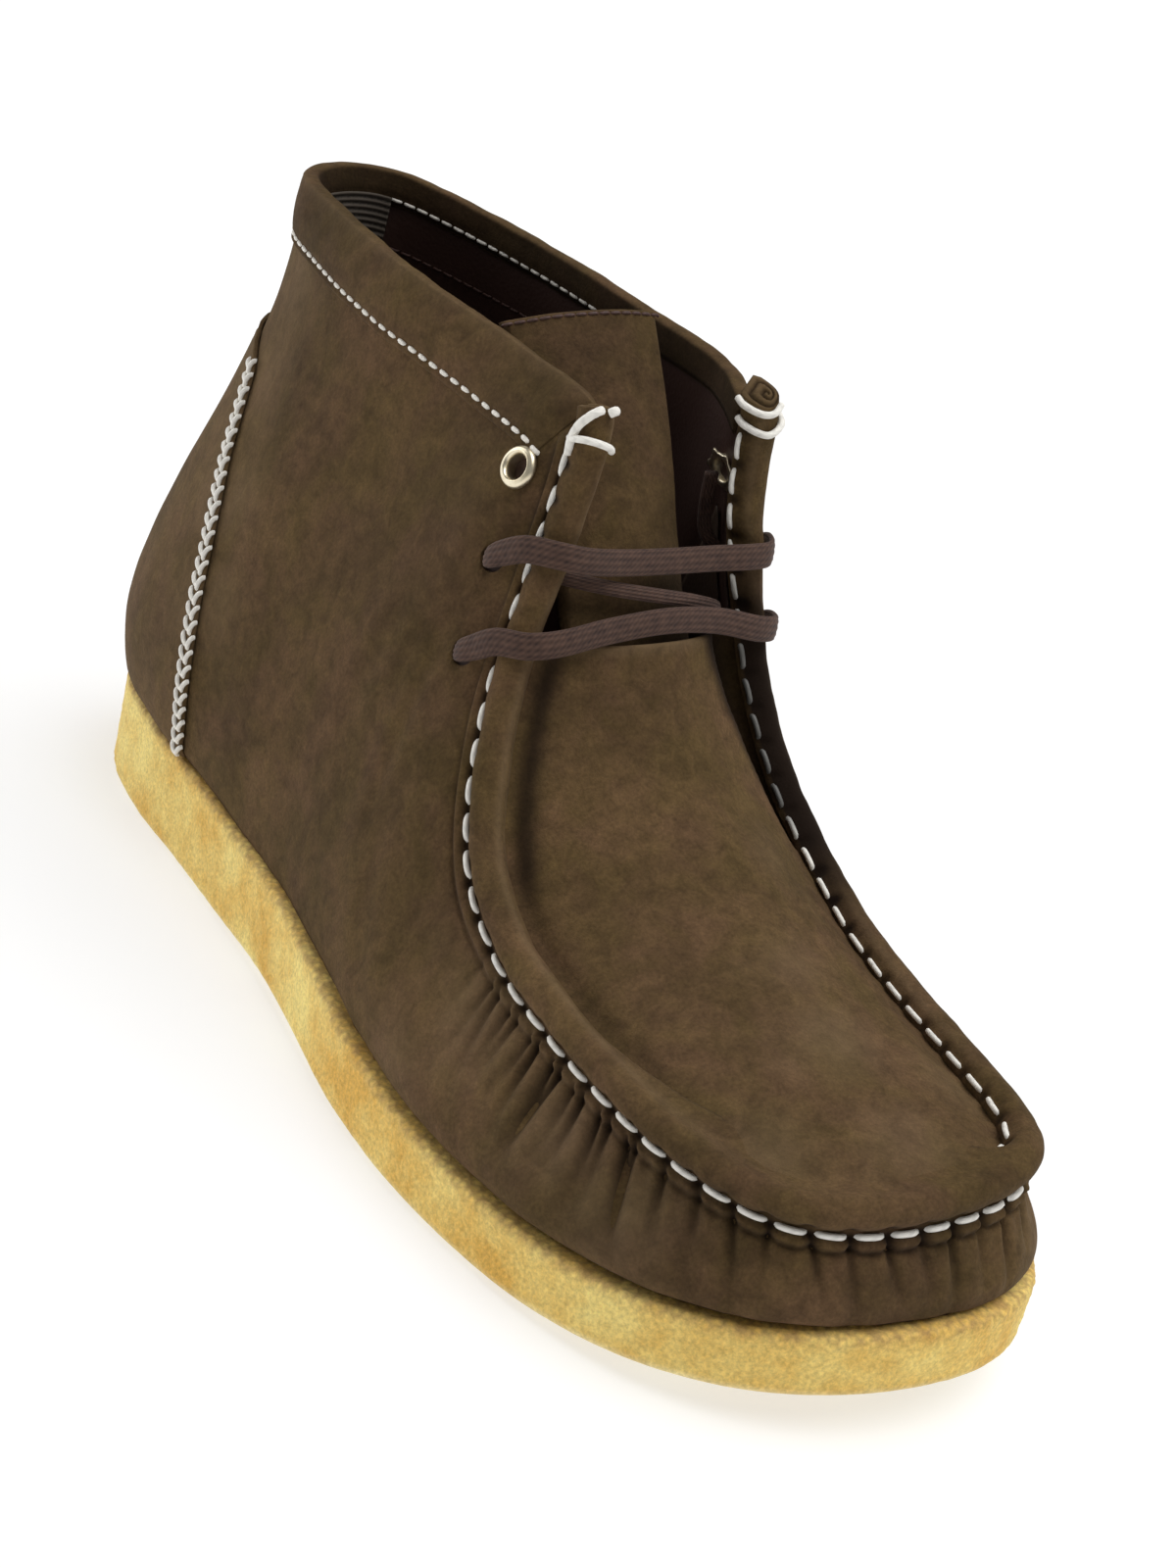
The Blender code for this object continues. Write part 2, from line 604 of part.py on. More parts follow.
# The lace's route from its lateral end to its medial end, with its width and thickness at each point:
# flat on the two bars, gathered in the holes, narrow where it is out of sight.
LACE_ROUTE = (
    # from behind the lateral eyelet down to the low hole
    (-20.3, 6.8, 126.0, 3.0, 2.2),
    (-21.8, 8.5, 119.0, 3.0, 2.2),
    (-25.0, 10.0, 109.5, 3.0, 2.2),
    (-27.5, 7.5, 99.0, 3.0, 2.2),
    (-29.0, 3.5, 92.0, 3.0, 2.4),
    (-31.5, 1.0, 90.3, 3.0, 3.0),
    (-34.0, 0.2, 91.2, 3.0, 3.0),
    # the low bar, over both rolls
    (-36.0, -1.6, 92.5, 4.4, 2.2),
    (-35.6, -5.0, 94.8, 5.2, 1.8),
    (-34.4, -9.9, 98.2, 5.5, 1.8),
    (-31.1, -15.6, 99.6, 5.5, 1.8),
    (-24.5, -17.6, 100.8, 5.5, 1.8),
    (-12.0, -17.2, 102.6, 5.5, 1.8),
    (2.0, -17.4, 104.0, 5.5, 1.8),
    (15.5, -17.2, 103.2, 5.5, 1.8),
    (27.2, -17.8, 101.0, 5.5, 1.8),
    (33.9, -15.8, 99.8, 5.5, 1.8),
    (37.6, -10.2, 98.3, 5.5, 1.8),
    (38.6, -5.2, 95.2, 5.0, 1.8),
    (38.3, -1.8, 92.9, 4.4, 2.2),
    (36.2, -0.6, 92.0, 3.0, 3.0),
    # inside, across the tongue and up to the lateral middle hole
    (32.8, -0.4, 91.6, 3.0, 2.8),
    (29.0, -3.6, 94.5, 3.0, 2.2),
    (24.0, -7.6, 99.5, 3.0, 2.2),
    (19.5, -11.8, 103.5, 3.0, 2.2),
    (11.0, -14.0, 106.3, 3.0, 2.2),
    (0.0, -14.4, 108.3, 3.0, 2.2),
    (-10.0, -12.2, 109.3, 3.0, 2.2),
    (-17.0, -7.6, 109.5, 3.0, 2.2),
    (-21.0, -2.4, 109.3, 3.0, 2.2),
    (-23.8, 2.4, 108.6, 3.0, 2.6),
    (-26.4, 4.4, 108.9, 3.0, 3.0),
    (-28.8, 3.8, 109.5, 3.0, 3.0),
    # the middle bar
    (-31.0, 2.0, 110.8, 4.4, 2.2),
    (-30.6, -1.4, 113.2, 5.2, 1.8),
    (-29.1, -6.4, 116.0, 5.5, 1.8),
    (-25.2, -12.0, 116.8, 5.5, 1.8),
    (-18.8, -13.4, 116.0, 5.5, 1.8),
    (-8.0, -12.6, 115.0, 5.5, 1.8),
    (4.0, -12.4, 114.8, 5.5, 1.8),
    (15.0, -13.0, 115.2, 5.5, 1.8),
    (23.6, -14.0, 115.6, 5.5, 1.8),
    (29.6, -13.0, 115.6, 5.5, 1.8),
    (34.0, -7.6, 115.0, 5.5, 1.8),
    (35.9, -2.8, 112.8, 5.0, 1.8),
    (35.8, 1.0, 110.9, 4.4, 2.2),
    (33.5, 2.8, 110.1, 3.0, 3.0),
    # up inside to behind the medial eyelet
    (30.5, 4.4, 110.2, 3.0, 2.8),
    (28.1, 5.8, 113.6, 3.0, 2.2),
    (27.0, 6.3, 119.5, 3.0, 2.2),
    (26.0, 5.8, 126.0, 3.0, 2.2),
)
LACE_STEPS = 2
LACE_SIDES = 8
# The lace lies with its width up and down, as far as its direction lets it
LACE_STANDS = (0.0, 0.15, 1.0)


def build_lace(look):
    """The flat lace, one solid from end to end along its route."""
    route = through(LACE_ROUTE, LACE_STEPS * (len(LACE_ROUTE) - 1) + 1)
    centre, width, thick = route[:, :3] * SIZE_XYZ, route[:, 3], route[:, 4]
    along = np.gradient(centre, axis=0)
    along /= np.linalg.norm(along, axis=-1, keepdims=True)
    wide = np.empty_like(centre)
    last = np.array(LACE_STANDS)
    for k, ahead in enumerate(along):
        steep = ahead[2] ** 2
        last = last * steep + np.array(LACE_STANDS) * (1 - steep)
        last -= ahead * last.dot(ahead)
        last /= np.linalg.norm(last)
        wide[k] = last
    face = np.cross(along, wide)
    rings = []
    for turn in (np.arange(LACE_SIDES) + 0.5) / LACE_SIDES * 2 * math.pi:
        across = wide * (width / 2 * math.cos(turn))[:, None]
        rings.append(centre + across + face * (thick / 2 * math.sin(turn))[:, None])
    return lofted("lace", np.stack(rings, axis=1), look)


def main():
    for old in list(bpy.data.objects):
        bpy.data.objects.remove(old)
    nubuck = material("nubuck", (0.13, 0.085, 0.05), 0.9)
    crepe = material("crepe", (0.72, 0.52, 0.2), 0.8)
    sock = material("sock", (0.1, 0.06, 0.04), 0.8)
    build_outsole(crepe)
    build_insole(sock)
    build_upper(nubuck)
    build_tongue(nubuck)
    build_seam_roll(nubuck)
    build_collar_band(nubuck)
    build_heel_counter(nubuck)
    brass = material("brass", (0.6, 0.5, 0.32), 0.35, 1.0)
    build_eyelet("eyelet_lateral", False, brass)
    build_eyelet("eyelet_medial", True, brass)
    build_lace(material("lace", (0.07, 0.035, 0.03), 0.9))


main()
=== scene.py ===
"""Looks of the moccasin ankle boot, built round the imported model. The boot's own sizes are in millimetres."""

import math

import bmesh
import bpy
import numpy as np
from mathutils import Matrix, Vector, noise
from mathutils.bvhtree import BVHTree


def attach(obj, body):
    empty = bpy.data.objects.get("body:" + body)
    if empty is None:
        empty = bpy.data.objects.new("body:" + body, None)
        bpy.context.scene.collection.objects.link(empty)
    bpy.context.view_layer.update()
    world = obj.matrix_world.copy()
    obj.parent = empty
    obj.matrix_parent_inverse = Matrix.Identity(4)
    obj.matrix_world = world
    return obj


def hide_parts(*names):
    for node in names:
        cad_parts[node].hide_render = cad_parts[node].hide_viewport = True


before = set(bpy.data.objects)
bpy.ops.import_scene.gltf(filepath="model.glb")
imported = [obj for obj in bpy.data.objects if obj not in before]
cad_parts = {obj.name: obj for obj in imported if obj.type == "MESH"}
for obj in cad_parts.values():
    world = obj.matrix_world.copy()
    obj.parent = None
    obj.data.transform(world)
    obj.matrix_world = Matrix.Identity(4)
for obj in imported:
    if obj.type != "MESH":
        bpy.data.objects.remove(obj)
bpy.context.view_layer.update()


# ---- Studio --------------------------------------------------------------------------------------
# A pale floor with a little light of its own, a wide soft light overhead, a second from behind the heel,
# and the camera, which looks down on the boot's outer side and leans over to its left.
CAMERA_PLACE = (-0.3393, -0.3731, 0.2856)
CAMERA_AIM = (-0.0008, -0.0190, 0.0660)
CAMERA_ROLL = math.radians(14.55)
CAMERA_LENS = 80.0

camera_data = bpy.data.cameras.new("camera")
camera_data.lens = CAMERA_LENS
camera_data.sensor_fit = "HORIZONTAL"
camera = bpy.data.objects.new("camera", camera_data)
bpy.context.scene.collection.objects.link(camera)
gaze = Vector(CAMERA_AIM) - Vector(CAMERA_PLACE)
turned = gaze.to_track_quat("-Z", "Y").to_matrix().to_4x4() @ Matrix.Rotation(CAMERA_ROLL, 4, "Z")
camera.matrix_world = Matrix.Translation(CAMERA_PLACE) @ turned
bpy.context.scene.camera = camera


def soft_sun(name, come_from, strength, spread):
    """A far, wide light that comes from a direction and softens shadows over `spread` degrees."""
    data = bpy.data.lights.new(name, "SUN")
    data.energy = strength
    data.angle = math.radians(spread)
    light = bpy.data.objects.new(name, data)
    light.matrix_world = Vector(come_from).to_track_quat("Z", "Y").to_matrix().to_4x4()
    bpy.context.scene.collection.objects.link(light)


# Each light's name, where it comes from, its strength and its spread in degrees
LIGHTS = (
    ("overhead", (0.25, -0.25, 1.0), 2.45, 55.0),
    ("behind_heel", (-0.55, 1.0, 0.4), 1.1, 50.0),
)
ROOM_LIGHT = 0.2

for light in LIGHTS:
    soft_sun(*light)
world = bpy.data.worlds.new("studio")
world.use_nodes = True
room = world.node_tree.nodes["Background"].inputs
room["Color"].default_value = (1.0, 1.0, 1.0, 1.0)
room["Strength"].default_value = ROOM_LIGHT
bpy.context.scene.world = world
bpy.context.scene.view_settings.view_transform = "Standard"


def node_adder(tree, prefix=""):
    """A function that adds a node to a tree and gives back its first output."""

    def add(kind, links=None, **settings):
        """One node: `links` gives its inputs values or other nodes' outputs, `settings` its properties."""
        node = tree.nodes.new(prefix + kind)
        for key, value in settings.items():
            setattr(node, key, value)
        for key, value in (links or {}).items():
            if isinstance(value, bpy.types.NodeSocket):
                tree.links.new(value, node.inputs[key])
            else:
                node.inputs[key].default_value = value
        return node.outputs[0]

    return add


class Finish:
    """A new material: its shader's inputs, and short ways to build its colour and its relief."""

    def __init__(self, name, roughness, metallic=0.0):
        self.material = bpy.data.materials.new(name)
        self.material.use_nodes = True
        tree = self.material.node_tree
        self.add = node_adder(tree, "ShaderNode")
        self.place = self.add("TexCoord").node.outputs["Object"]
        self.shader = tree.nodes["Principled BSDF"].inputs
        self.shader["Roughness"].default_value = roughness
        self.shader["Metallic"].default_value = metallic

    def mark(self, name):
        """One of the piece's own attributes."""
        return self.add("Attribute", attribute_name=name).node.outputs["Fac"]

    def noise(self, scale, detail, roughness=0.5, distortion=0.0):
        return self.add("TexNoise", {"Vector": self.place, "Scale": scale, "Detail": detail,
                                     "Roughness": roughness, "Distortion": distortion})

    def cells(self, scale):
        return self.add("TexVoronoi", {"Vector": self.place, "Scale": scale})

    def math(self, operation, *values, use_clamp=False):
        return self.add("Math", dict(enumerate(values)), operation=operation, use_clamp=use_clamp)

    def stretch(self, value, low, high, to_low=0.0, to_high=1.0):
        """Stretches the range from low to high over another one."""
        return self.add("MapRange", {"Value": value, "From Min": low, "From Max": high,
                                     "To Min": to_low, "To Max": to_high})

    def ramp(self, value, low, high, places=(0.0, 1.0)):
        """A colour between two others."""
        output = self.add("ValToRGB", {"Fac": value})
        for element, colour, place in zip(output.node.color_ramp.elements, (low, high), places):
            element.position = place
            element.color = (*colour, 1)
        return output

    def mix(self, share, one, other):
        return self.add("MixRGB", {"Fac": share, "Color1": one, "Color2": other})

    def scaled(self, colour, share):
        return self.add("VectorMath", {0: colour, "Scale": share}, operation="SCALE")

    def dress(self, colour, height=None, strength=0.5, depth=0.0004):
        """Gives the shader its colour, and a bump from the height; gives back the material."""
        join = self.material.node_tree.links.new
        join(colour, self.shader["Base Color"])
        if height is not None:
            relief = self.add("Bump", {"Height": height, "Strength": strength, "Distance": depth})
            join(relief, self.shader["Normal"])
        return self.material


FLOOR_HALF = 12.0
FLOOR_DROP = 0.0003
FLOOR_PAPER = (
    ("Base Color", (0.46, 0.46, 0.46, 1.0)),
    ("Emission Color", (1.0, 1.0, 1.0, 1.0)),
    ("Emission Strength", 0.58),
)

floor_mesh = bpy.data.meshes.new("floor")
floor_mesh.from_pydata(
    [(x * FLOOR_HALF, y * FLOOR_HALF, -FLOOR_DROP) for x, y in ((-1, -1), (1, -1), (1, 1), (-1, 1))],
    [], [(0, 1, 2, 3)],
)
floor = bpy.data.objects.new("floor", floor_mesh)
bpy.context.scene.collection.objects.link(floor)
floor_finish = Finish("floor_paper", 0.7)
for socket, value in FLOOR_PAPER:
    floor_finish.shader[socket].default_value = value
floor_mesh.materials.append(floor_finish.material)


# ---- Outsole -------------------------------------------------------------------------------------
# One wedge of natural crepe rubber, cut from a slab and cemented on. Its sides are buffed, its top rim is
# left crumbly, and its underside keeps the slab's crinkled grain.

# One row for each section of the last, from toe to heel: the sole's outline, depth and ledge, the top line
# (apron seam, throat, collar), how far the wall swells low and high, and the apron's crown
COLUMNS = (
    "sole_y", "sole_lat", "sole_med", "depth", "ledge",
    "top_y", "top_lat", "top_med", "top_z_lat", "top_z_med",
    "low_lat", "low_med", "high_lat", "high_med", "crown",
)
SECTIONS = (
    (-144, 0.0, 0.0, 13.6, 3.6, -130.8, 0.0, 0.0, 42.4, 42.4, 3.0, 3.0, 1.0, 1.0, 0.0),
    (-140, -21.0, 17.5, 13.6, 3.6, -128.3, -21.0, 15.5, 41.6, 43.8, 3.0, 3.0, 1.0, 1.0, 3.0),
    (-129, -39.0, 31.5, 13.6, 3.6, -119, -35.0, 22.5, 41.0, 44.5, 4.0, 4.0, 1.0, 1.0, 6.0),
    (-112, -51.5, 41.0, 13.7, 3.6, -101, -42.0, 27.5, 42.0, 45.0, 5.0, 5.0, 1.0, 1.0, 9.0),
    (-91, -58.5, 48.0, 13.9, 3.6, -81, -43.8, 31.2, 44.0, 46.5, 5.5, 5.5, 1.5, 1.5, 12.0),
    (-68, -61.0, 52.0, 14.3, 3.5, -62, -43.3, 34.0, 46.5, 49.5, 5.5, 5.5, 2.0, 2.0, 15.0),
    (-44, -61.0, 53.0, 15.4, 3.2, -44, -42.0, 36.0, 51.0, 56.0, 5.0, 5.0, 2.5, 2.5, 17.0),
    (-19, -57.5, 50.5, 17.2, 2.8, -26, -38.5, 35.5, 63.0, 68.0, 4.0, 4.0, 4.0, 4.0, 15.5),
    (6, -51.5, 45.0, 19.0, 2.4, -12, -30.5, 32.0, 87.0, 89.0, 3.5, 3.5, 6.0, 6.0, 11.5),
    (31, -45.5, 42.5, 20.6, 2.0, -5, -21.5, 26.5, 117.0, 118.0, 3.5, 3.5, 7.0, 7.0, 8.0),
    (56, -41.0, 43.0, 22.2, 1.6, -2, -17.5, 24.0, 143.5, 143.5, 4.0, 4.0, 7.0, 7.0, 8.0),
    (81, -37.5, 45.5, 23.6, 1.2, 21, -18.0, 35.5, 146.2, 145.0, 5.0, 5.0, 4.5, 4.0, 8.0),
    (105, -34.5, 47.0, 24.8, 0.9, 59, -21.4, 35.0, 149.4, 147.2, 6.0, 6.0, 1.5, 0.5, 8.0),
    (127, -28.0, 43.0, 25.6, 0.8, 91.5, -18.2, 30.8, 151.3, 149.5, 7.0, 7.0, -1.5, -2.0, 8.0),
    (143, -15.0, 29.0, 26.0, 0.8, 117, -11.0, 18.5, 152.2, 152.8, 7.0, 7.0, -3.5, -4.0, 8.0),
    (151, 5.0, 5.0, 26.2, 0.8, 123.5, 5.0, 5.0, 153.3, 153.3, 7.0, 7.0, -5.0, -5.0, 8.0),
)
MM = 0.001
MIDDLE = np.array([-4.15, 4.98, 0.0])
HEEL_ROW = len(SECTIONS) - 1
ROUND = 2 * HEEL_ROW
COLLAR_ROW = 10
SMALL = 0.02


def run_of(lateral, medial=None, corners=()):
    """A column as a closed run, down the lateral side and back up the medial, with its slope at each row."""
    down = [row[COLUMNS.index(lateral)] for row in SECTIONS]
    back = [row[COLUMNS.index(medial or lateral)] for row in SECTIONS]
    values = np.array(down + back[HEEL_ROW - 1 : 0 : -1], float)
    before = values - np.roll(values, 1)
    after = np.roll(values, -1) - values
    slope = (before + after) / 2
    for k in corners:
        slope[k] = 2 * before[k] * after[k] / (before[k] + after[k]) if before[k] * after[k] > 0 else 0.0
    return values, slope


THROAT_CORNERS = (COLLAR_ROW, ROUND - COLLAR_ROW)
RUNS = {
    "sole_y": run_of("sole_y"),
    "sole_x": run_of("sole_lat", "sole_med"),
    "depth": run_of("depth"),
    "ledge": run_of("ledge"),
    "top_y": run_of("top_y", corners=THROAT_CORNERS),
    "top_x": run_of("top_lat", "top_med", THROAT_CORNERS),
    "top_z": run_of("top_z_lat", "top_z_med", THROAT_CORNERS),
    "low": run_of("low_lat", "low_med"),
    "high": run_of("high_lat", "high_med"),
    "crown": run_of("crown"),
}


def at(name, s):
    """The value of a run at station s, by cubic pieces between the rows."""
    values, slope = RUNS[name]
    s = np.asarray(s, float) % ROUND
    k = np.floor(s).astype(int) % ROUND
    f = s - np.floor(s)
    after = (k + 1) % ROUND
    return (
        values[k] * (1 + 2 * f) * (1 - f) ** 2
        + slope[k] * f * (1 - f) ** 2
        + values[after] * f**2 * (3 - 2 * f)
        - slope[after] * f**2 * (1 - f)
    )


def unit(vectors):
    return vectors / np.maximum(np.linalg.norm(vectors, axis=-1, keepdims=True), 1e-9)


def outward(s):
    """The level direction out of the sole's side at station s."""
    along_x = at("sole_x", s + SMALL) - at("sole_x", s - SMALL)
    along_y = at("sole_y", s + SMALL) - at("sole_y", s - SMALL)
    return unit(np.stack([-along_y, along_x, np.zeros_like(along_x)], axis=-1))


def clamp(values):
    """Values held between 0 and 1."""
    return np.clip(values, 0, 1)


def hump(distance, width):
    """1 on a line, dying away to nearly 0 at two widths from it."""
    return np.exp(-((distance / width) ** 2))


TOE_SPRING = 9.5
ARCH_RISE = 1.5
HEEL_SPRING = 1.5


def tread_height(y):
    """The underside: flat at the ball and the heel, arched between them and sprung at the toe."""
    toe = TOE_SPRING * np.clip((-60.0 - y) / 84.0, 0, None) ** 2
    arch = ARCH_RISE * np.sin(np.pi * clamp((y + 22.0) / 84.0)) ** 2
    heel = HEEL_SPRING * np.clip((y - 124.0) / 27.0, 0, None) ** 2
    return toe + arch + heel


def sole_edge(s):
    """The sole's outline at station s, at the height of the tread."""
    y = at("sole_y", s)
    return np.stack([at("sole_x", s), y, tread_height(y)], -1)


def bump_field(points, size, octaves=3, shift=0.0):
    """Smooth seeded unevenness between about -1 and 1, with features of the given size."""
    places = (np.asarray(points, float).reshape(-1, 3) / size + shift).tolist()
    values = [noise.fractal(place, 0.9, 2.0, octaves) for place in places]
    return np.array(values).reshape(np.shape(points)[:-1])


def piece(name, points, faces, look, **marks):
    """A mesh object at the origin, from points about the last in millimetres. `marks` become attributes."""
    mesh = bpy.data.meshes.new(name)
    points = np.asarray(points, float).reshape(-1, 3)
    mesh.from_pydata(((points - MIDDLE) * MM).tolist(), [], faces)
    mesh.materials.append(look)
    for mark, values in marks.items():
        stored = mesh.attributes.new(mark, "FLOAT", "POINT")
        stored.data.foreach_set("value", np.asarray(values, float).ravel())
    shape = bmesh.new()
    shape.from_mesh(mesh)
    bmesh.ops.remove_doubles(shape, verts=shape.verts, dist=1e-3 * MM)
    bmesh.ops.recalc_face_normals(shape, faces=shape.faces)
    shape.to_mesh(mesh)
    shape.free()
    mesh.shade_smooth()
    made = bpy.data.objects.new(name, mesh)
    bpy.context.scene.collection.objects.link(made)
    return made


def grid(rows, columns, first=0, closed=False):
    """Quads between the rows of a grid whose points are numbered row by row."""
    j, i = np.meshgrid(np.arange(rows - 1), np.arange(columns if closed else columns - 1), indexing="ij")
    k = (i + 1) % columns
    quads = np.stack([j * columns + i, j * columns + k, (j + 1) * columns + k, (j + 1) * columns + i], -1)
    return (quads + first).reshape(-1, 4).tolist()


def lid(first, around):
    """Faces that close a ring of points round the foot, straight across from side to side."""
    pairs = [(first + k, first + (around - k) % around) for k in range(around // 2 + 1)]
    return [tuple(dict.fromkeys((a, b, d, c))) for (a, c), (b, d) in zip(pairs, pairs[1:])]


def between(left, right, across):
    """Rows of points that run from one line to another, at the given shares of the way."""
    return left[:, None] + (right - left)[:, None] * across[None, :, None]


def keep(made, slot_name, *nodes):
    """A finished piece rides with the boot and stands for CAD nodes, which it hides; its slot is not used."""
    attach(made, "root")
    if nodes:
        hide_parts(*nodes)


def joined(ring, other):
    """Quads between two rings of point numbers."""
    return [(a, b, d, c) for a, b, c, d in zip(ring, ring[1:] + ring[:1], other, other[1:] + other[:1])]


# How far the edges of the tread and the rim are rounded, and how the seat runs in under the wall
TREAD_ROUND = 2.5
RIM_ROUND = 1.5
SEAT_IN = 5.0
SEAT_LIFT = 0.3
# The grid: points to a station, across the tread and up the side
SOLE_AROUND = 32
TREAD_ACROSS = 72
SIDE_ROWS = 16
# The grain of the sides and the crumbs of the rim: height and size, and how far down the crumbs reach
GRAIN_SIDE = 0.22
GRAIN_RIM = 0.42
GRAIN_SIZE = 3.0
CRUMB_SIZE = 1.5
RIM_REACH = 3.5
RIM_UNEVEN = 0.25
# The underside's grain: how high its wormy ridges stand, how far apart they lie, and how sharp they are
CRINKLE_DEPTH = 0.75
CRINKLE_SIZE = 5.2
CRINKLE_SHARP = 0.12

# Deep and pale honey of the sides and of the tread, the crumbs of the rim, and the glue's stain
SIDE_HONEY = ((0.8, 0.475, 0.088), (1.0, 0.795, 0.26))
TREAD_HONEY = ((0.76, 0.56, 0.22), (0.9, 0.76, 0.4))
CRUMB_BROWN = (0.42, 0.25, 0.09, 1)
GLUE_BROWN = (0.2, 0.1, 0.035, 1)

crepe = Finish("crepe", 0.78)
clouds = crepe.noise(55.0, 5.0, 0.62)
grains = crepe.noise(1150.0, 3.0, 0.7)
crumbs = crepe.cells(620.0)
side_tone = crepe.ramp(clouds, *SIDE_HONEY, (0.36, 0.66))
tread_tone = crepe.ramp(clouds, *TREAD_HONEY, (0.3, 0.62))
both = crepe.mix(crepe.mark("tread"), side_tone, tread_tone)
speck = crepe.math("MULTIPLY", crepe.stretch(crumbs, 0.15, 0.75), crepe.mark("rim"))
grainy = crepe.scaled(crepe.mix(speck, both, CRUMB_BROWN), crepe.stretch(grains, 0.3, 0.7, 0.7, 1.16))
stained = crepe.mix(crepe.mark("glue"), grainy, GLUE_BROWN)
crepe_look = crepe.dress(stained, crepe.math("ADD", grains, crumbs))

stations = np.arange(ROUND * SOLE_AROUND) / SOLE_AROUND
side_out = outward(stations)
depth, ledge = at("depth", stations), at("ledge", stations)
profile = []
for turn in np.linspace(0, math.pi / 2, 6):
    profile.append((TREAD_ROUND * (1 - math.sin(turn)), TREAD_ROUND * (1 - math.cos(turn))))
for share in np.linspace(0, 1, SIDE_ROWS)[1:]:
    profile.append((0.0, TREAD_ROUND + (depth - TREAD_ROUND - RIM_ROUND) * share))
for turn in np.linspace(0, math.pi / 2, 5)[1:]:
    profile.append((RIM_ROUND * (1 - math.cos(turn)), depth - RIM_ROUND * (1 - math.sin(turn))))
for share in (0.3, 0.6, 1.0):
    profile.append((RIM_ROUND + (ledge + SEAT_IN - RIM_ROUND) * share, depth + SEAT_LIFT * share))
inset, rise = (np.array([row[k] + 0 * depth for row in profile]) for k in (0, 1))
rings = sole_edge(stations)[None] - side_out[None] * inset[..., None]
rings[..., 2] += rise
near_rim = clamp((rise - depth + RIM_REACH) / 3.0) ** 2
side_grain = bump_field(rings * (1, 1, 1.6), GRAIN_SIZE, 3) * GRAIN_SIDE
side_grain += bump_field(rings, CRUMB_SIZE, 2, 7.0) * GRAIN_RIM * near_rim
side_grain *= clamp(rise / TREAD_ROUND)
rings += side_out[None] * side_grain[..., None]
rings[..., 2] += near_rim * bump_field(rings, 2.2, 2, 3.0) * RIM_UNEVEN

half = HEEL_ROW * SOLE_AROUND
across = np.linspace(0, 1, TREAD_ACROSS + 1)[1:-1]
left = rings[0, 1:half]
right = rings[0, :half:-1]
tread = between(left, right, across)
ground = tread_height(tread[..., 1])
warp = bump_field(tread, 9.0, 2, 2.0)[..., None] * (1.5, 1.5, 0)
worms = bump_field(tread + warp, CRINKLE_SIZE, 2, 11.0)
edge_fade = clamp(np.minimum(across, 1 - across) / 0.03)
tread[..., 2] = ground + edge_fade * CRINKLE_DEPTH * (
    hump(worms, CRINKLE_SHARP) + 0.35 * clamp(bump_field(tread, 2.4, 2, 5.0))
)

around = ROUND * SOLE_AROUND
sole_faces = grid(len(profile), around, closed=True)
inner = len(profile) * around
strip = TREAD_ACROSS - 1


def tread_number(k, a):
    """The number of the tread's point at station k, a places across from the lateral edge."""
    if k == 0 or k == half:
        return k
    if a == 0:
        return k
    if a == TREAD_ACROSS:
        return around - k
    return inner + (k - 1) * strip + a - 1


for k in range(half):
    for a in range(TREAD_ACROSS):
        corners = ((k, a), (k + 1, a), (k + 1, a + 1), (k, a + 1))
        corners = tuple(dict.fromkeys(tread_number(*corner) for corner in corners))
        if len(corners) > 2:
            sole_faces.append(corners)
sole_faces += lid((len(profile) - 1) * around, around)
# The cement has squeezed out and darkened along the rim, behind the waist
GLUE_SHOWS = 0.75
plain = np.zeros(tread[..., 0].size)
behind = clamp((at("sole_y", stations) - 60.0) / 40.0)
glue = clamp((rise - depth + 2.2) / 2.0) * behind * GLUE_SHOWS
glue *= clamp(0.6 + bump_field(rings, 6.0, 2, 9.0))
outsole = piece(
    "outsole_crepe", np.concatenate([rings.reshape(-1, 3), tread.reshape(-1, 3)]), sole_faces, crepe_look,
    tread=np.concatenate([clamp(1.3 - rise / 2.0).ravel(), plain + 1]),
    rim=np.concatenate([near_rim.ravel() * 0.7, plain]),
    glue=np.concatenate([glue.ravel(), plain]),
)
keep(outsole, "crepe", "outsole")


# ---- Sock ----------------------------------------------------------------------------------------
# The insole: a thin board with a dark leather sock glued over it. It lies on the sole inside the boot, and
# is cut a little clear of the wall all round.

# How far in from the wall's face its edge lies, how high off the sole its underside is, and its thickness
SOCK_IN = 2.6
SOCK_LIFT = 0.6
SOCK_THICK = 3.0


SOCK_BEVEL = 0.9
LINING_BROWN = (0.046, 0.02, 0.014)
CLOUDED = (0.7, 1.35)


def lining_leather(name, tone):
    """Smooth dark lining leather with a faint pebble."""
    made = Finish(name, 0.55)
    shade = made.ramp(made.noise(40.0, 4.0), *([c * share for c in tone] for share in CLOUDED))
    return made.dress(shade, made.cells(1100.0), 0.3, 0.0002)


lining_look = lining_leather("lining_leather", LINING_BROWN)
stations = np.arange(ROUND * 16) / 16
base = sole_edge(stations)
sock_rings = []
for extra, lift in ((0.0, 0.0), (0.0, SOCK_THICK - SOCK_BEVEL), (0.3, SOCK_THICK - 0.3), (1.0, SOCK_THICK)):
    ring = base - outward(stations) * (at("ledge", stations) + SOCK_IN + extra)[:, None]
    ring[:, 2] = base[:, 2] + at("depth", stations) + SOCK_LIFT + lift
    sock_rings.append(ring)
around = len(stations)
sock_faces = grid(4, around, closed=True) + lid(0, around) + lid(3 * around, around)
keep(piece("sock", np.concatenate(sock_rings), sock_faces, lining_look), "lining", "insole")


# ---- Vamp and quarters ---------------------------------------------------------------------------
# One shell of brown nubuck, lasted round the foot and tucked into the sole. Its top edge is drawn up by the
# hand-sewn seam, so that it puckers round the toe, and it is punched for the eyelets and the lace.

# How far the wall's foot stands off the sole, and what makes its two swells 1 at their highest
SEAT_GAP = 0.3
LOW_PEAK = 4**4 / 3**3
HIGH_PEAK = 3**3 / 2**2
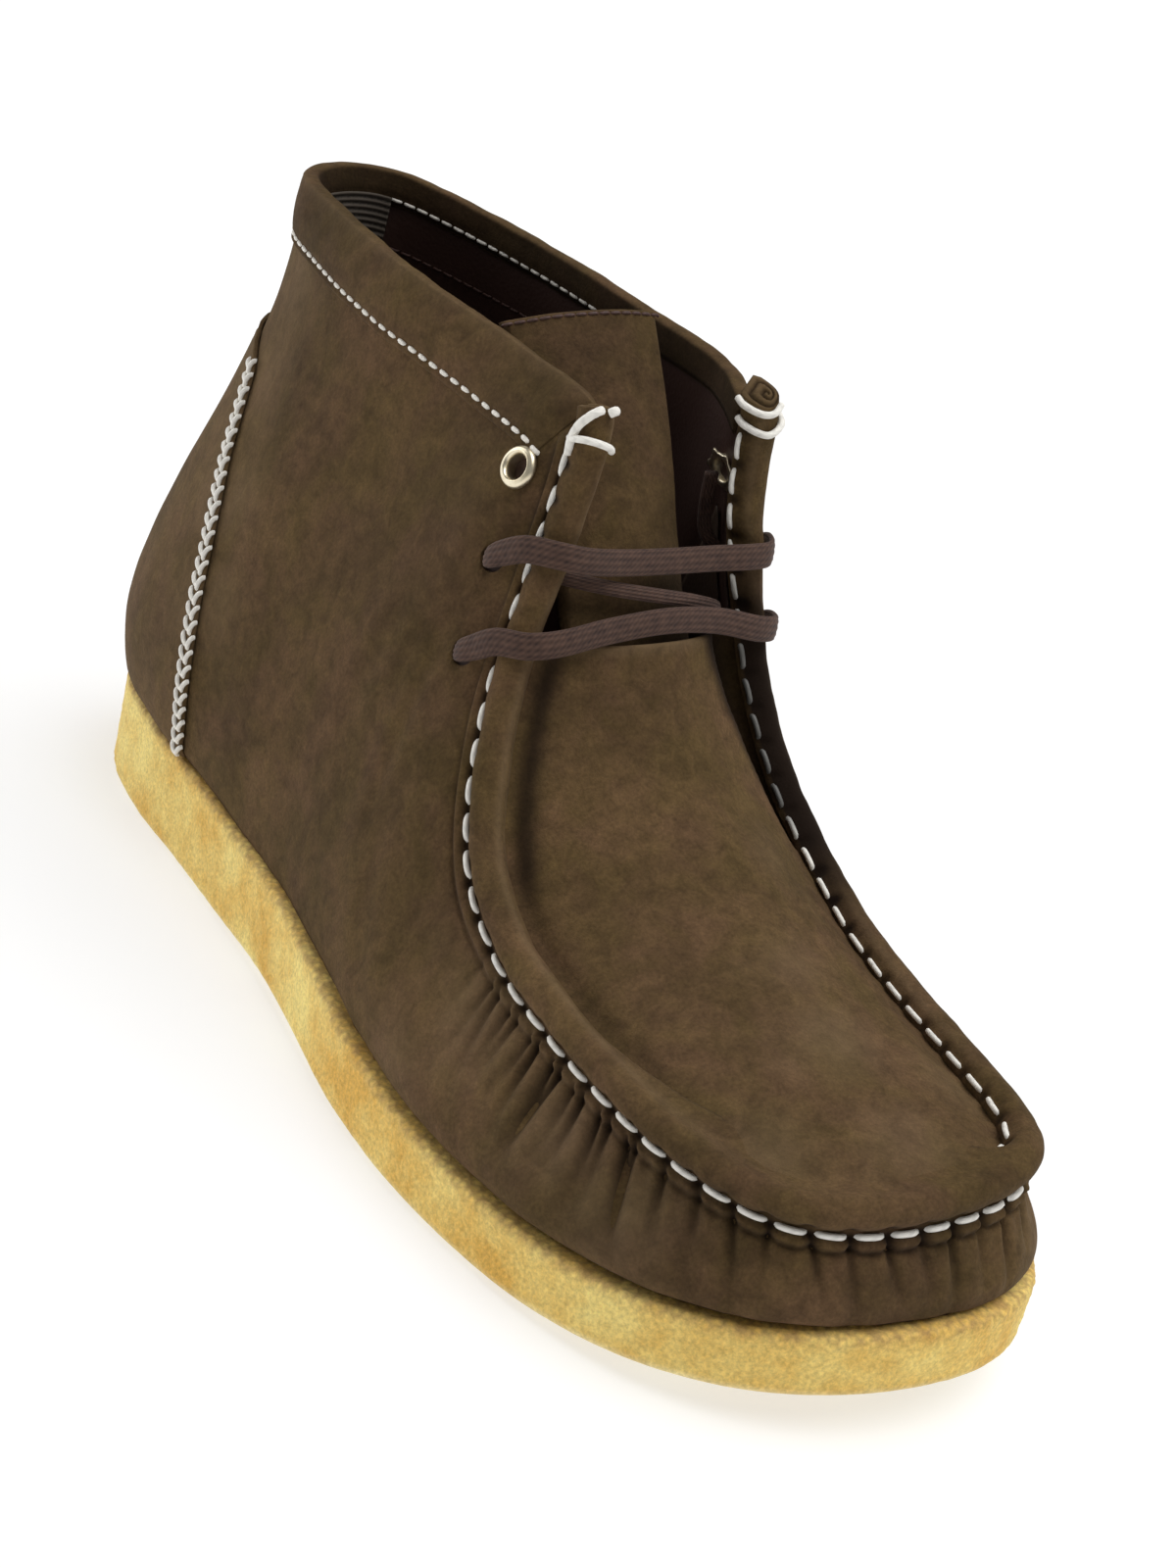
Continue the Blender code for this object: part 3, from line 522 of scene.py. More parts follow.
# Where the apron ends, how many stations count as the toe, how the apron slopes there, and how far the
# ridge leans in at the medial corner
APRON_END = 8.33
TOE_ROWS = 2.0
APRON_SLOPE_AT_TOE = 0.5
MEDIAL_TILT = 0.42
APRON_STEP = 0.15


def wall(s, t):
    """The upper's outer face: station s round the boot, t from 0 at the sole to 1 at the top line."""
    s, t = np.broadcast_arrays(np.asarray(s, float), np.asarray(t, float))
    foot = sole_edge(s) - outward(s) * at("ledge", s)[..., None]
    foot[..., 2] = foot[..., 2] + at("depth", s) + SEAT_GAP
    top = np.stack([at("top_x", s), at("top_y", s), at("top_z", s)], axis=-1)
    low = at("low", s) * LOW_PEAK * t * (1 - t) ** 3
    high = at("high", s) * HIGH_PEAK * t**2 * (1 - t)
    swell = np.where(t > 0, low + high, 0)
    return foot + (top - foot) * t[..., None] + outward(s) * swell[..., None]


def wall_normal(s, t):
    """The direction out of the wall."""
    s, t = np.broadcast_arrays(np.asarray(s, float), np.asarray(t, float))
    t = np.clip(t, SMALL, 1 - SMALL)
    up = wall(s, t + SMALL) - wall(s, t - SMALL)
    along = wall(s + SMALL, t) - wall(s - SMALL, t)
    return unit(np.cross(up, along))


def wall_span(s):
    """How far it is straight up the wall at station s, from its foot to the top line."""
    return np.linalg.norm(wall(s, 1.0) - wall(s, 0.0), axis=-1)


def station_width(s, t):
    """How wide one station is at a point of the wall."""
    return np.linalg.norm(wall(s + 0.5, t) - wall(s - 0.5, t), axis=-1)


def apron(s, u):
    """The apron between the lateral seam at station s, where u is 0, and the medial seam, where u is 1."""
    s, u = np.broadcast_arrays(np.asarray(s, float), np.asarray(u, float))
    left, right = wall(s, 1.0), wall(ROUND - s, 1.0)
    ahead = wall(s + APRON_STEP, 1.0) + wall(ROUND - s - APRON_STEP, 1.0)
    behind = wall(s - APRON_STEP, 1.0) + wall(ROUND - s + APRON_STEP, 1.0)
    away = unit(np.cross(right - left, ahead - behind))
    crown = at("crown", s) * (1 - (2 * u - 1) ** 2)
    return left + (right - left) * u[..., None] + away * crown[..., None]


def inside_of_seam(s):
    """The direction in which the apron leaves the seam; past the apron's end, the way through the wall."""
    row = np.abs(s)
    level = -outward(s)
    level[..., 2] = APRON_SLOPE_AT_TOE
    side = np.maximum(row, TOE_ROWS)
    inward = unit(apron(side, np.where(s < 0, 0.9, 0.1)) - wall(np.where(s < 0, -side, side), 1.0))
    from_toe = clamp((row - TOE_ROWS) / TOE_ROWS)[..., None]
    inward = unit(level * (1 - from_toe) + inward * from_toe)
    free = clamp(row - APRON_END - 0.1)[..., None]
    return inward * (1 - free) - wall_normal(s, 1.0) * free


def upright(s):
    """How far the ridge is tilted in towards the apron: only round the medial corner of the toe."""
    return MEDIAL_TILT * clamp((-s - 0.2) / 1.0) * clamp((s + 6.5) / 3.0)


def seam_frame(s):
    """The seam at station s, negative on the medial side: its place, and the ways inward, up and along."""
    s = np.asarray(s, float)
    last = COLLAR_ROW - 1.5 * SMALL
    held = np.clip(s, -last, last)
    along = unit(wall(held + SMALL, 1.0) - wall(held - SMALL, 1.0))
    away = wall_normal(held, 1.0)
    up = np.cross(along, away) - inside_of_seam(held) + 0.3 * away
    up = unit(up - along * np.sum(up * along, axis=-1, keepdims=True))
    up = unit(up + np.cross(along, up) * upright(held)[..., None])
    return wall(s, 1.0), np.cross(along, up), up, along


def at_seam(s, across, up):
    """A point by the seam, so many millimetres across (inward) and up from it."""
    place, inward, above = seam_frame(s)[:3]
    return place + inward * np.asarray(across)[..., None] + above * np.asarray(up)[..., None]


def run_along(points, axis=0):
    """How far each point lies along its line from the line's start."""
    steps = np.linalg.norm(np.diff(points, axis=axis), axis=-1)
    return np.insert(np.cumsum(steps, axis=axis), 0, 0.0, axis=axis)


def stitch_line(line, start, end, pitch):
    """Even stations along a line of stitches: its holes, the middles of its stitches, and the exact pitch."""
    s = np.linspace(start, end, 4000)
    length = run_along(line(s))
    count = int(length[-1] / pitch)
    holes = np.interp(np.arange(count + 1) * length[-1] / count, length, s)
    middles = np.interp((np.arange(count) + 0.5) * length[-1] / count, length, s)
    return holes, middles, length[-1] / count


def step_down(distance, edge, softness):
    """1 before an edge and 0 past it."""
    return 0.5 - 0.5 * np.tanh((distance - edge) / softness)


OLIVE_NAP = (0.095, 0.060, 0.0235)
RED_NAP = (0.096, 0.0555, 0.0275)
RUBBED_AND_LIT_NAP = (0.2, 0.135, 0.075, 1)
FOLD_SHADE = (0.014, 0.008, 0.005, 1)
NAP_SHEEN = (0.6, 0.45, 0.3, 1)


def nubuck(name, dark=1.0):
    """Brushed nubuck: cloudy brown, olive or redder as the nap lies, paler where worn and where light is
    painted on, darker where shade is painted on.
    """
    made = Finish(name, 0.92)
    clouds = made.noise(30.0, 4.0, 0.55)
    hues = made.noise(62.0, 4.0, 0.6, 0.4)
    strokes = made.noise(240.0, 4.0, 0.65, 0.6)
    nap = made.noise(1300.0, 3.0, 0.7)
    stroke = made.stretch(strokes, 0.3, 0.7, 0.76, 1.24)
    colour = made.ramp(hues, [c * dark for c in OLIVE_NAP], [c * dark for c in RED_NAP], (0.36, 0.64))
    for share in (made.stretch(clouds, 0.3, 0.7, 0.76, 1.3), stroke, made.stretch(nap, 0.3, 0.7, 0.78, 1.22)):
        colour = made.scaled(colour, share)
    # Paleness from wear and from painted light, then painted shade that darkens it towards FOLD_SHADE
    worn_and_lit = made.math("MULTIPLY", made.mark("rubbed"), stroke, use_clamp=True)
    deep = made.mix(made.mark("sunk"), made.mix(worn_and_lit, colour, RUBBED_AND_LIT_NAP), FOLD_SHADE)
    made.shader["Sheen Weight"].default_value = 0.06
    made.shader["Sheen Roughness"].default_value = 0.45
    made.shader["Sheen Tint"].default_value = NAP_SHEEN
    made.shader["Specular IOR Level"].default_value = 0.12
    return made.dress(deep, made.math("ADD", nap, strokes), 0.4)


nubuck_look = nubuck("nubuck")

# The seam's running stitch, which the puckers follow: its pitch, how far it lies below the seam and off the
# last, how much farther up the throat, and its last station
STITCH_PITCH = 7.3
STITCH_DOWN = 3.9
STITCH_OFF = 1.25
THROAT_OFF = 0.85
THROAT_DOWN = 0.2
SEAM_ENDS = 9.72


def up_throat(side):
    """0 round the apron, rising to 1 up the throat."""
    return clamp((np.abs(side) - 6.0) / 2.5)


def outer_stitches(s):
    throat = up_throat(s)
    t = 1 - (STITCH_DOWN + THROAT_DOWN * throat) / wall_span(s)
    return wall(s, t) + wall_normal(s, t) * (STITCH_OFF + THROAT_OFF * throat)[..., None]


outer_holes, outer_middles, outer_pitch = stitch_line(outer_stitches, -SEAM_ENDS, SEAM_ENDS, STITCH_PITCH)

# Thicknesses: the nubuck, and the nubuck with its lining
SHELL = 1.3
LINED = 2.0
# The hide's own unevenness
UNEVEN = 0.5
UNEVEN_SIZE = 34.0
# The strip of vamp that the seam nips up beside the stitches: its height and its lower edge, the furrow
# along it where the thread draws it in, and how wide each stitch nips it
STRIP_HEIGHT = 1.3
STRIP_EDGE = 6.3
FURROW_DOWN = 4.0
NIP_WIDTH = 1.25
# Where the puckers run, where they are deepest, and where a second one starts between the holes
PUCKERS = (-5.4, 6.3)
DEEP_PUCKERS = (3.2, 5.9)
DOUBLE_PUCKERS = (3.4, 5.8)
# A pucker: how deep it dents, how far it bulges beside the dent, how dark the dent lies, and its width
PUCKER_DENT = 1.45
PUCKER_BULGE = 0.45
PUCKER_SHADE = 0.72
PUCKER_WIDTH = 0.62
PUCKER_WIDENS = 0.075
PUCKER_SEED = 11
# What is drawn for each pucker: strength, reach, lean, offset from its hole, and bend
PUCKER_RANGES = ((0.5, 1.1), (9.0, 18.0), (-0.2, 0.2), (-0.02, 0.02), (-0.006, 0.006))
DEEP_REACH = 7.0
DEEP_STRENGTH = 1.3
# How far the wall's foot is drawn in over the sole
FOOT_TUCK = 1.0
# Creases, listed one by one: station, height up the wall, lean, length, width and depth
CREASES = (
    (8.6, 0.60, 0.9, 34.0, 5.0, 0.35),
    (7.6, 0.40, 0.7, 42.0, 7.0, 0.35),
    (9.7, 0.55, 1.3, 30.0, 6.0, 0.3),
    (-8.2, 0.55, -0.8, 38.0, 6.0, 0.5),
    (-7.4, 0.36, -0.6, 44.0, 7.0, 0.5),
    (11.0, 0.72, 0.2, 40.0, 8.0, 0.4),
    (-11.4, 0.66, -0.2, 44.0, 8.0, 0.5),
)


def leather(s, t):
    """How far the leather stands out from the last, in millimetres, and how dark it lies in folds, 0 to 1."""
    side = np.where(s > HEEL_ROW, s - ROUND, s)
    spot = wall(s, t)
    span = wall_span(s)
    down = (1 - t) * span
    per_row = station_width(s, t)
    seamed = step_down(np.abs(side), COLLAR_ROW - 0.12, 0.08)
    toe = step_down(np.abs(side), 3.0, 1.2)
    nip = np.zeros_like(down)
    for hole in outer_holes:
        nip = np.maximum(nip, hump((side - hole) * per_row, NIP_WIDTH))
    throat = up_throat(side)
    edge = STRIP_EDGE - 0.9 * nip * toe + 1.5 * throat
    out = bump_field(spot, UNEVEN_SIZE, 3, 1.0) * UNEVEN * clamp(down / 12)
    out += seamed * STRIP_HEIGHT * (1 + 0.45 * throat) * step_down(down, edge, 0.35)
    furrow = FURROW_DOWN + THROAT_DOWN * throat
    out -= seamed * (0.5 + 0.7 * nip) * hump(down - furrow, 0.9)
    out -= seamed * (0.25 + 0.35 * toe) * hump(down - edge - 0.5, 0.5)
    fold = seamed * (0.45 + 0.55 * nip) * hump(down - furrow, 1.0)
    fold += seamed * (0.3 + 0.35 * toe + 0.5 * throat) * hump(down - edge - 0.35, 0.55)
    rng = np.random.default_rng(PUCKER_SEED)
    between = [hole + 0.13 for hole in outer_holes if DOUBLE_PUCKERS[0] < hole < DOUBLE_PUCKERS[1]]
    starts = sorted(list(outer_holes) + between)
    for hole in starts:
        strength, reach, lean, offset, bend = (rng.uniform(*ends) for ends in PUCKER_RANGES)
        if not PUCKERS[0] < hole < PUCKERS[1]:
            continue
        strength *= min(1.0, (PUCKERS[1] - hole) / 0.8, (hole - PUCKERS[0]) / 2.0)
        if DEEP_PUCKERS[0] < hole < DEEP_PUCKERS[1]:
            strength, reach = min(DEEP_STRENGTH, strength * 1.2 + 0.2), reach + DEEP_REACH
        past = np.maximum(down - edge + 0.8, 0)
        off = (side - hole - offset) * per_row + lean * past + bend * past**2
        width = PUCKER_WIDTH + PUCKER_WIDENS * past
        fade = clamp(1 - past / reach) ** 0.8 * step_down(-down, -edge + 0.9, 0.4)
        dent = hump(off, width) * fade * strength
        bulge = hump(np.abs(off) - 2.6 * width, 1.5 * width) * fade * strength
        out += PUCKER_BULGE * bulge - PUCKER_DENT * dent
        fold += PUCKER_SHADE * dent * clamp(1.25 - past / reach)
    for station, height, lean, length, width, deep in CREASES:
        centre = wall(np.array(station % ROUND), np.array(height))
        level = (side - station) * per_row
        climb = (t - height) * span
        along = level * math.cos(lean) + climb * math.sin(lean)
        off = -level * math.sin(lean) + climb * math.cos(lean)
        near = hump(along, length / 2) * (np.linalg.norm(spot - centre, axis=-1) < 2 * length)
        out += deep * near * ((off / width) ** 2 * 2 - 1) * hump(off, width)
    out -= FOOT_TUCK * clamp(1 - t * span / 2.0) ** 2
    return out, clamp(fold)


# The shell's grid: columns to a station, closer round the front, and rows, closer along the seam. Its foot
# is tucked a little way below the last's.
FRONT_COLUMNS = 48
BACK_COLUMNS = 18
FRONT_ROWS = 7
WALL_ROWS = 54
NEAR_SEAM = 8.0
INNER_ROWS = 16
TUCKED_IN = 0.8

steps = []
for k in range(ROUND):
    in_front = k < FRONT_ROWS or k > ROUND - FRONT_ROWS
    steps.append(np.arange(k, k + 1, 1 / (FRONT_COLUMNS if in_front else BACK_COLUMNS)))
stations = np.concatenate(steps)
span = wall_span(stations)
near_top = np.concatenate([np.arange(0, 3.0, 0.75), np.arange(3.0, NEAR_SEAM, 0.36)])
down = np.concatenate([near_top, np.zeros(WALL_ROWS)])[:, None] * np.ones_like(span)[None]
for j in range(WALL_ROWS):
    share = (j / (WALL_ROWS - 1)) ** 1.05
    down[j - WALL_ROWS] = NEAR_SEAM + (span + TUCKED_IN - NEAR_SEAM) * share
heights = 1 - down / span[None]
columns = np.broadcast_to(stations[None], heights.shape)
out, fold = leather(columns, clamp(heights))
form, away = wall(columns, heights), wall_normal(columns, heights)
outer = form + away * out[..., None]
inner_rows = np.linspace(0, len(heights) - 1, INNER_ROWS).astype(int)
inner_face = form[inner_rows] - away[inner_rows] * SHELL
count = len(stations)
shell_points = np.concatenate([outer.reshape(-1, 3), inner_face.reshape(-1, 3)])
shell_faces = grid(len(heights), count, closed=True)
first = outer.shape[0] * count
shell_faces += [face[::-1] for face in grid(len(inner_rows), count, first, closed=True)]
last_outer = (len(heights) - 1) * count
last_inner = first + (len(inner_rows) - 1) * count
for i in range(count):
    k = (i + 1) % count
    shell_faces.append((k, i, first + i, first + k))
    shell_faces.append((last_outer + i, last_outer + k, last_inner + k, last_inner + i))

# How uneven the edges of a patch of nap are
PATCH_RAGGED = 0.35
PATCH_RAGGED_SIZE = 14.0
# Where the nap is painted paler and where darker: station, height, radius and strength. The pale patches round
# the heel are painted light, and the dark ones are painted shade.
PALE_PATCHES = (
    (5.7, 0.72, 13.0, 0.36),
    (4.3, 0.62, 12.0, 0.34),
    (3.4, 0.5, 11.0, 0.34),
    (6.3, 0.22, 9.0, 0.28),
    (-1.4, 0.45, 10.0, 0.36),
    (13.4, 0.85, 13.0, 0.44),
    (13.1, 0.66, 13.0, 0.44),
    (12.4, 0.48, 12.0, 0.36),
    (11.8, 0.31, 11.0, 0.3),
)
DARK_PATCHES = (
    (0.9, 0.2, 12.0, 0.34),
    (10.3, 0.7, 18.0, 0.26),
    (10.9, 0.85, 9.0, 0.16),
    (8.2, 0.42, 11.0, 0.14),
    (10.8, 0.18, 10.0, 0.18),
)


def patches(spots, middles, table):
    """How strongly the patches of a table show at each spot, with uneven edges."""
    shown = np.zeros(spots.shape[:-1])
    ragged = 1 + PATCH_RAGGED * bump_field(spots, PATCH_RAGGED_SIZE, 3, 9.0)
    for middle, row in zip(middles, table):
        away_by = np.linalg.norm(spots - middle, axis=-1) * ragged
        shown = np.maximum(shown, row[-1] * hump(away_by, row[-2]))
    return shown


def wall_patches(spots, table):
    return patches(spots, [wall(np.array(row[0] % ROUND), np.array(row[1])) for row in table], table)


# Painted shade: the folds' shade, with the dark patches added to it
fold = clamp(fold + wall_patches(outer, DARK_PATCHES))
# The inner face gets neither painted shade nor paleness
unmarked = np.zeros(inner_face[..., 0].size)
vamp = piece("vamp_and_quarters", shell_points, shell_faces, nubuck_look,
             sunk=np.concatenate([fold.ravel(), unmarked]),
             rubbed=np.concatenate([wall_patches(outer, PALE_PATCHES).ravel(), unmarked]))

# Punches for the two eyelets and the lace's four holes: station, height and radius of each pair
HOLES = {"top": (9.99, 0.87, 3.2), "middle": (9.29, 0.84, 2.7), "low": (8.68, 0.81, 2.7)}
PUNCH_DEPTH = 10.0
PUNCH_SIDES = 28


def hole(row, medial):
    """The centre of a hole on the wall's outer face, and the direction out of it."""
    s, t, _ = HOLES[row]
    s = ROUND - s if medial else s
    return wall(s, t), wall_normal(s, t)


def settle(made):
    """Turns what a piece's modifiers make into its plain mesh."""
    bpy.context.view_layer.update()
    evaluated = made.evaluated_get(bpy.context.evaluated_depsgraph_get())
    plain = bpy.data.meshes.new_from_object(evaluated)
    made.modifiers.clear()
    made.data = plain


def punch(made):
    """Cuts the six holes through a finished piece."""
    shape = bmesh.new()
    for row, (_, _, radius) in HOLES.items():
        for medial in (False, True):
            centre, away = hole(row, medial)
            turn = Vector(away).to_track_quat("Z", "Y").to_matrix().to_4x4()
            place = Matrix.Translation(Vector((centre - MIDDLE) * MM)) @ turn
            bmesh.ops.create_cone(shape, cap_ends=True, segments=PUNCH_SIDES, depth=PUNCH_DEPTH * MM,
                                  radius1=radius * MM, radius2=radius * MM, matrix=place)
    mesh = bpy.data.meshes.new("punches")
    shape.to_mesh(mesh)
    shape.free()
    tool = bpy.data.objects.new("punches", mesh)
    bpy.context.scene.collection.objects.link(tool)
    cut = made.modifiers.new("holes", "BOOLEAN")
    cut.operation = "DIFFERENCE"
    cut.solver = "EXACT"
    cut.object = tool
    settle(made)
    bpy.data.objects.remove(tool)


punch(vamp)
keep(vamp, "nubuck", "upper")


# ---- Apron ---------------------------------------------------------------------------------------
# The plug over the toes and instep: a crowned panel of the same nubuck, sewn to the vamp all round its
# edge. Round the toe it is drawn over the ridge, so that no step shows there. Its top edge lies free over
# the tongue.

# The ridge of the seam: its height, and how far its foot stands above the seam, more at the toe
RIDGE_HEIGHT = 5.0
RIDGE_CLEAR = 0.6
RIDGE_CLEAR_AT_TOE = 0.9
# The stations between which the apron stops covering the ridge
COVER_LATERAL = (2.0, 4.6)
COVER_MEDIAL = (0.1, 1.0)
APRON_ROWS = 280
APRON_ACROSS = 120
# The valley along the ridge: its depth, width and distance from the seam, and how dark it lies
VALLEY_DEPTH = 0.7
VALLEY_WIDTH = 2.3
VALLEY_FROM_SEAM = 5.0
VALLEY_SHADE = 0.22
VALLEY_SHADE_UP = 0.58
VALLEY_SHADE_FROM_SEAM = (4.8, 7.2)
VALLEY_SHADE_WIDTH = 2.6
# The fold at the instep, where the apron drops from the medial ridge: its first station, depth and width
FOLD_FROM = 6.2
FOLD_DEPTH = 6.0
FOLD_WIDTH = 11.5
FOLD_SPREAD = 1.35
# Where the apron is drawn over the ridge: how far it stays under the crest, and how softly it bends there
UNDER_CREST = 0.25
CREST_BEND = 0.9
# The apron's own unevenness, and how pale its free top edge is rubbed
APRON_UNEVEN = 0.6
APRON_UNEVEN_SIZE = 26.0
LIP_RUBBED = 0.4


def smooth(x):
    """Eases in and out between 0 and 1."""
    x = clamp(x)
    return x * x * (3 - 2 * x)


def twice(values):
    """The same values for the face of a sheet and for its back."""
    return np.concatenate([np.ravel(values)] * 2)


def closed_sheet(points, rows, columns):
    """Faces of a closed sheet: a grid, the grid behind it, and its rim wherever the two stand apart."""
    size = rows * columns
    faces = grid(rows, columns) + [face[::-1] for face in grid(rows, columns, size)]
    numbers = np.arange(size).reshape(rows, columns)
    rim = np.concatenate([numbers[0], numbers[1:, -1], numbers[-1, -2::-1], numbers[-2:0:-1, 0]]).tolist()
    apart = np.linalg.norm(points[:size] - points[size:], axis=-1) > 2e-3
    for here, there in zip(rim, rim[1:] + rim[:1]):
        if apart[here] or apart[there]:
            faces.append((here, there, there + size, here + size))
    return faces


# Paler patches of nap on the apron: row, place across it, radius and strength
APRON_PATCHES = (
    (3.35, 0.55, 10.0, 0.38),
    (4.3, 0.58, 8.0, 0.3),
    (2.0, 0.5, 9.0, 0.28),
    (2.5, 0.12, 9.0, 0.28),
    (2.7, 0.88, 8.0, 0.24),
    (6.0, 0.72, 8.0, 0.18),
)


def toe_cover(s):
    """1 round the toe, where the apron is drawn over the ridge, and 0 along the sides."""
    lateral = smooth((COVER_LATERAL[1] - s) / (COVER_LATERAL[1] - COVER_LATERAL[0]))
    medial = smooth((COVER_MEDIAL[1] + s) / (COVER_MEDIAL[1] - COVER_MEDIAL[0]))
    return lateral * medial


def medial_fold(s):
    """0 where the apron lies against the medial ridge, rising to 1 at its top end."""
    return clamp((-s - FOLD_FROM) / (APRON_END - FOLD_FROM)) ** 0.7


def crest_lift(s):
    """How far the ridge's foot stands above the seam."""
    return RIDGE_CLEAR + RIDGE_CLEAR_AT_TOE * hump(s, 1.3)


def ridge_top(s):
    """The crest of the seam's ridge."""
    return at_seam(s, 0 * s, RIDGE_HEIGHT + crest_lift(s))


rows = np.linspace(0.03, APRON_END, APRON_ROWS)[:, None]
places = np.linspace(0, 1, APRON_ACROSS + 1)[None]
panel = apron(rows, places)
facing = unit(np.cross(np.gradient(panel, axis=1), np.gradient(panel, axis=0)))
facing[0] = facing[3]
facing *= np.sign(facing[..., 2:3])
seam_at = np.linspace(-APRON_END, APRON_END, 900)
seam_run, crest_run = wall(seam_at, 1.0), ridge_top(seam_at)
nearest = np.array([
    np.argmin(np.linalg.norm(line[:, None] - seam_run[None], axis=-1), axis=1) for line in panel
])
side = seam_at[nearest]
from_seam = np.linalg.norm(panel - seam_run[nearest], axis=-1)
cover = toe_cover(side)
short_of = crest_run[nearest][..., 2] - UNDER_CREST - panel[..., 2]
panel[..., 2] += cover * np.logaddexp(0, short_of / CREST_BEND) * CREST_BEND
swell = bump_field(panel, APRON_UNEVEN_SIZE, 3, 4.0) * APRON_UNEVEN * clamp((from_seam - 4) / 10)
valley = np.where(side > 0, 1.0, 0.5) * VALLEY_DEPTH
swell -= valley * hump(from_seam - VALLEY_FROM_SEAM, VALLEY_WIDTH) * (1 - cover)
fold_here = medial_fold(side)
trough = smooth(from_seam / 2.5) * (1 - smooth((from_seam - FOLD_WIDTH * fold_here) / 4.0))
swell -= FOLD_DEPTH * fold_here * trough
panel += facing * swell[..., None]
# The fold lies in near darkness, a little past its foot, and the valley along the lateral ridge is shaded
fold_dark = smooth(from_seam / 2.5) * (1 - smooth((from_seam - FOLD_SPREAD * FOLD_WIDTH * fold_here) / 5.0))
valley_dark = VALLEY_SHADE + VALLEY_SHADE_UP * smooth((side - 6.0) / 0.8)
valley_dark *= (side > 0) * (1 - cover)
near, far = VALLEY_SHADE_FROM_SEAM
valley_place = near + (far - near) * smooth((side - 5.8) / 1.2)
shaded = np.maximum(clamp(2.2 * fold_here) * fold_dark,
                    valley_dark * hump(from_seam - valley_place, VALLEY_SHADE_WIDTH))
lip = clamp((rows - APRON_END + 0.1) / 0.1) + 0 * places
middles = [apron(row[0], row[1]) for row in APRON_PATCHES]
pale = np.maximum(LIP_RUBBED * lip, patches(panel, middles, APRON_PATCHES))
points = np.concatenate([panel.reshape(-1, 3), (panel - facing * SHELL).reshape(-1, 3)])
plug = piece("apron", points, closed_sheet(points, APRON_ROWS, APRON_ACROSS + 1), nubuck_look,
             rubbed=twice(pale), sunk=twice(shaded))
keep(plug, "nubuck")


# ---- Seam ridge ----------------------------------------------------------------------------------
# Where vamp and apron meet, their edges are pinched together and stand up as a ridge, held by a heavy
# running stitch. At the throat it is the rolled front edge of each quarter, and it ends in a small coil.
RIDGE_WIDTH = 7.0
RIDGE_END = 9.88
RIDGE_PER_ROW = 56
RIDGE_SIDES = 26
# How square the ridge's shoulders are, how far each stitch nips it in, and how uneven it is
RIDGE_SHOULDER = 0.72
RIDGE_NIP = 0.55
NIP_REACH = 1.15
RIDGE_UNEVEN = 0.3
# How far its crest is rubbed pale, how dark its holes and its outer foot lie, and where the shade of the
# instep's fold begins on the medial side
CREST_RUBBED = 0.3
HOLE_SHADE = 0.8
FOOT_SHADE = 0.3
SHADE_FROM = 4.4
# How far in over the apron the covered part of the ridge reaches, and how high it lies there
COVER_REACH = 13.2
COVER_LIFT = 0.25
COVER_SINK = 0.6
# Where the stitches show on the medial ridge's inner face. On the lateral side they lie hidden in the fold.
INNER_ACROSS = 3.9
INNER_UP = 0.5
INNER_LEAN = 3.2
INNER_MEDIAL = (-SEAM_ENDS, -0.5)
# How far the roll runs on past its stitched length at each end, and how the medial end's face is tilted
RUN_ON_LATERAL = 1.2
RUN_ON_MEDIAL = 3.2
RUN_ON_RINGS = 5
COIL_TILT = 0.55
COIL_RINGS = 14
COIL_TURNS = 2.2
COIL_BULGE = 0.9
COIL_GROOVE = 0.8

stations = np.linspace(-RIDGE_END, RIDGE_END, round(2 * RIDGE_END * RIDGE_PER_ROW))
turns = np.linspace(0, math.pi, RIDGE_SIDES)
place, across, up, along = seam_frame(stations)
cosine, sine = np.cos(turns), clamp(np.sin(turns))
flat = np.sign(cosine) * np.abs(cosine) ** RIDGE_SHOULDER * (RIDGE_WIDTH / 2)
tall = sine**RIDGE_SHOULDER * RIDGE_HEIGHT
ridge = (
    place[:, None] + across[:, None] * flat[None, :, None]
    + up[:, None] * (tall[None] + crest_lift(stations)[:, None])[..., None]
)


def inner_stitches(s):
    return at_seam(s, np.full_like(s, INNER_ACROSS), INNER_UP + INNER_LEAN * upright(s))


inner_medial = stitch_line(inner_stitches, *INNER_MEDIAL, STITCH_PITCH)
nipped = np.zeros(ridge.shape[:2])
for holes, low in ((outer_holes, math.pi - turns), (inner_medial[0], turns)):
    for station in holes:
        near = hump((stations - station) * station_width(station, 1.0), NIP_REACH)
        nipped = np.maximum(nipped, near[:, None] * hump(low, 0.3)[None])
ridge -= across[:, None] * (RIDGE_NIP * nipped * np.sign(cosine))[..., None]
# Round the toe the ridge's inner half gives way to the apron, which is drawn up to its crest
covered = toe_cover(stations)[:, None] * smooth((math.pi / 2 - turns) / 0.9)[None]
surface = BVHTree.FromPolygons(panel.reshape(-1, 3).tolist(), grid(APRON_ROWS, APRON_ACROSS + 1))
inward = -outward(stations)
crest = ridge_top(stations)
for j in np.flatnonzero(covered.max(axis=1) > 0):
    for i in np.flatnonzero(covered[j] > 0):
        reach = 0.6 + (1 - turns[i] / (math.pi / 2)) * COVER_REACH
        spot = crest[j] + inward[j] * reach
        hit = surface.ray_cast(Vector((spot[0], spot[1], 200.0)), Vector((0, 0, -1)))[0]
        ground = hit.z if hit is not None else crest[j][2]
        share = smooth((reach - 3.5) / 5.0)
        spot[2] = crest[j][2] * (1 - share) + ground * share + COVER_LIFT - COVER_SINK * reach / COVER_REACH
        ridge[j, i] += (spot - ridge[j, i]) * covered[j, i]
outwards = unit(ridge - (place - up)[:, None])
ridge += outwards * (bump_field(ridge, 10.0, 3, 6.0) * RIDGE_UNEVEN * (1 - covered))[..., None]
keel = [place + across * x - up * 0.9 for x in (0.6 - RIDGE_WIDTH / 2, RIDGE_WIDTH / 2 - 0.6)]
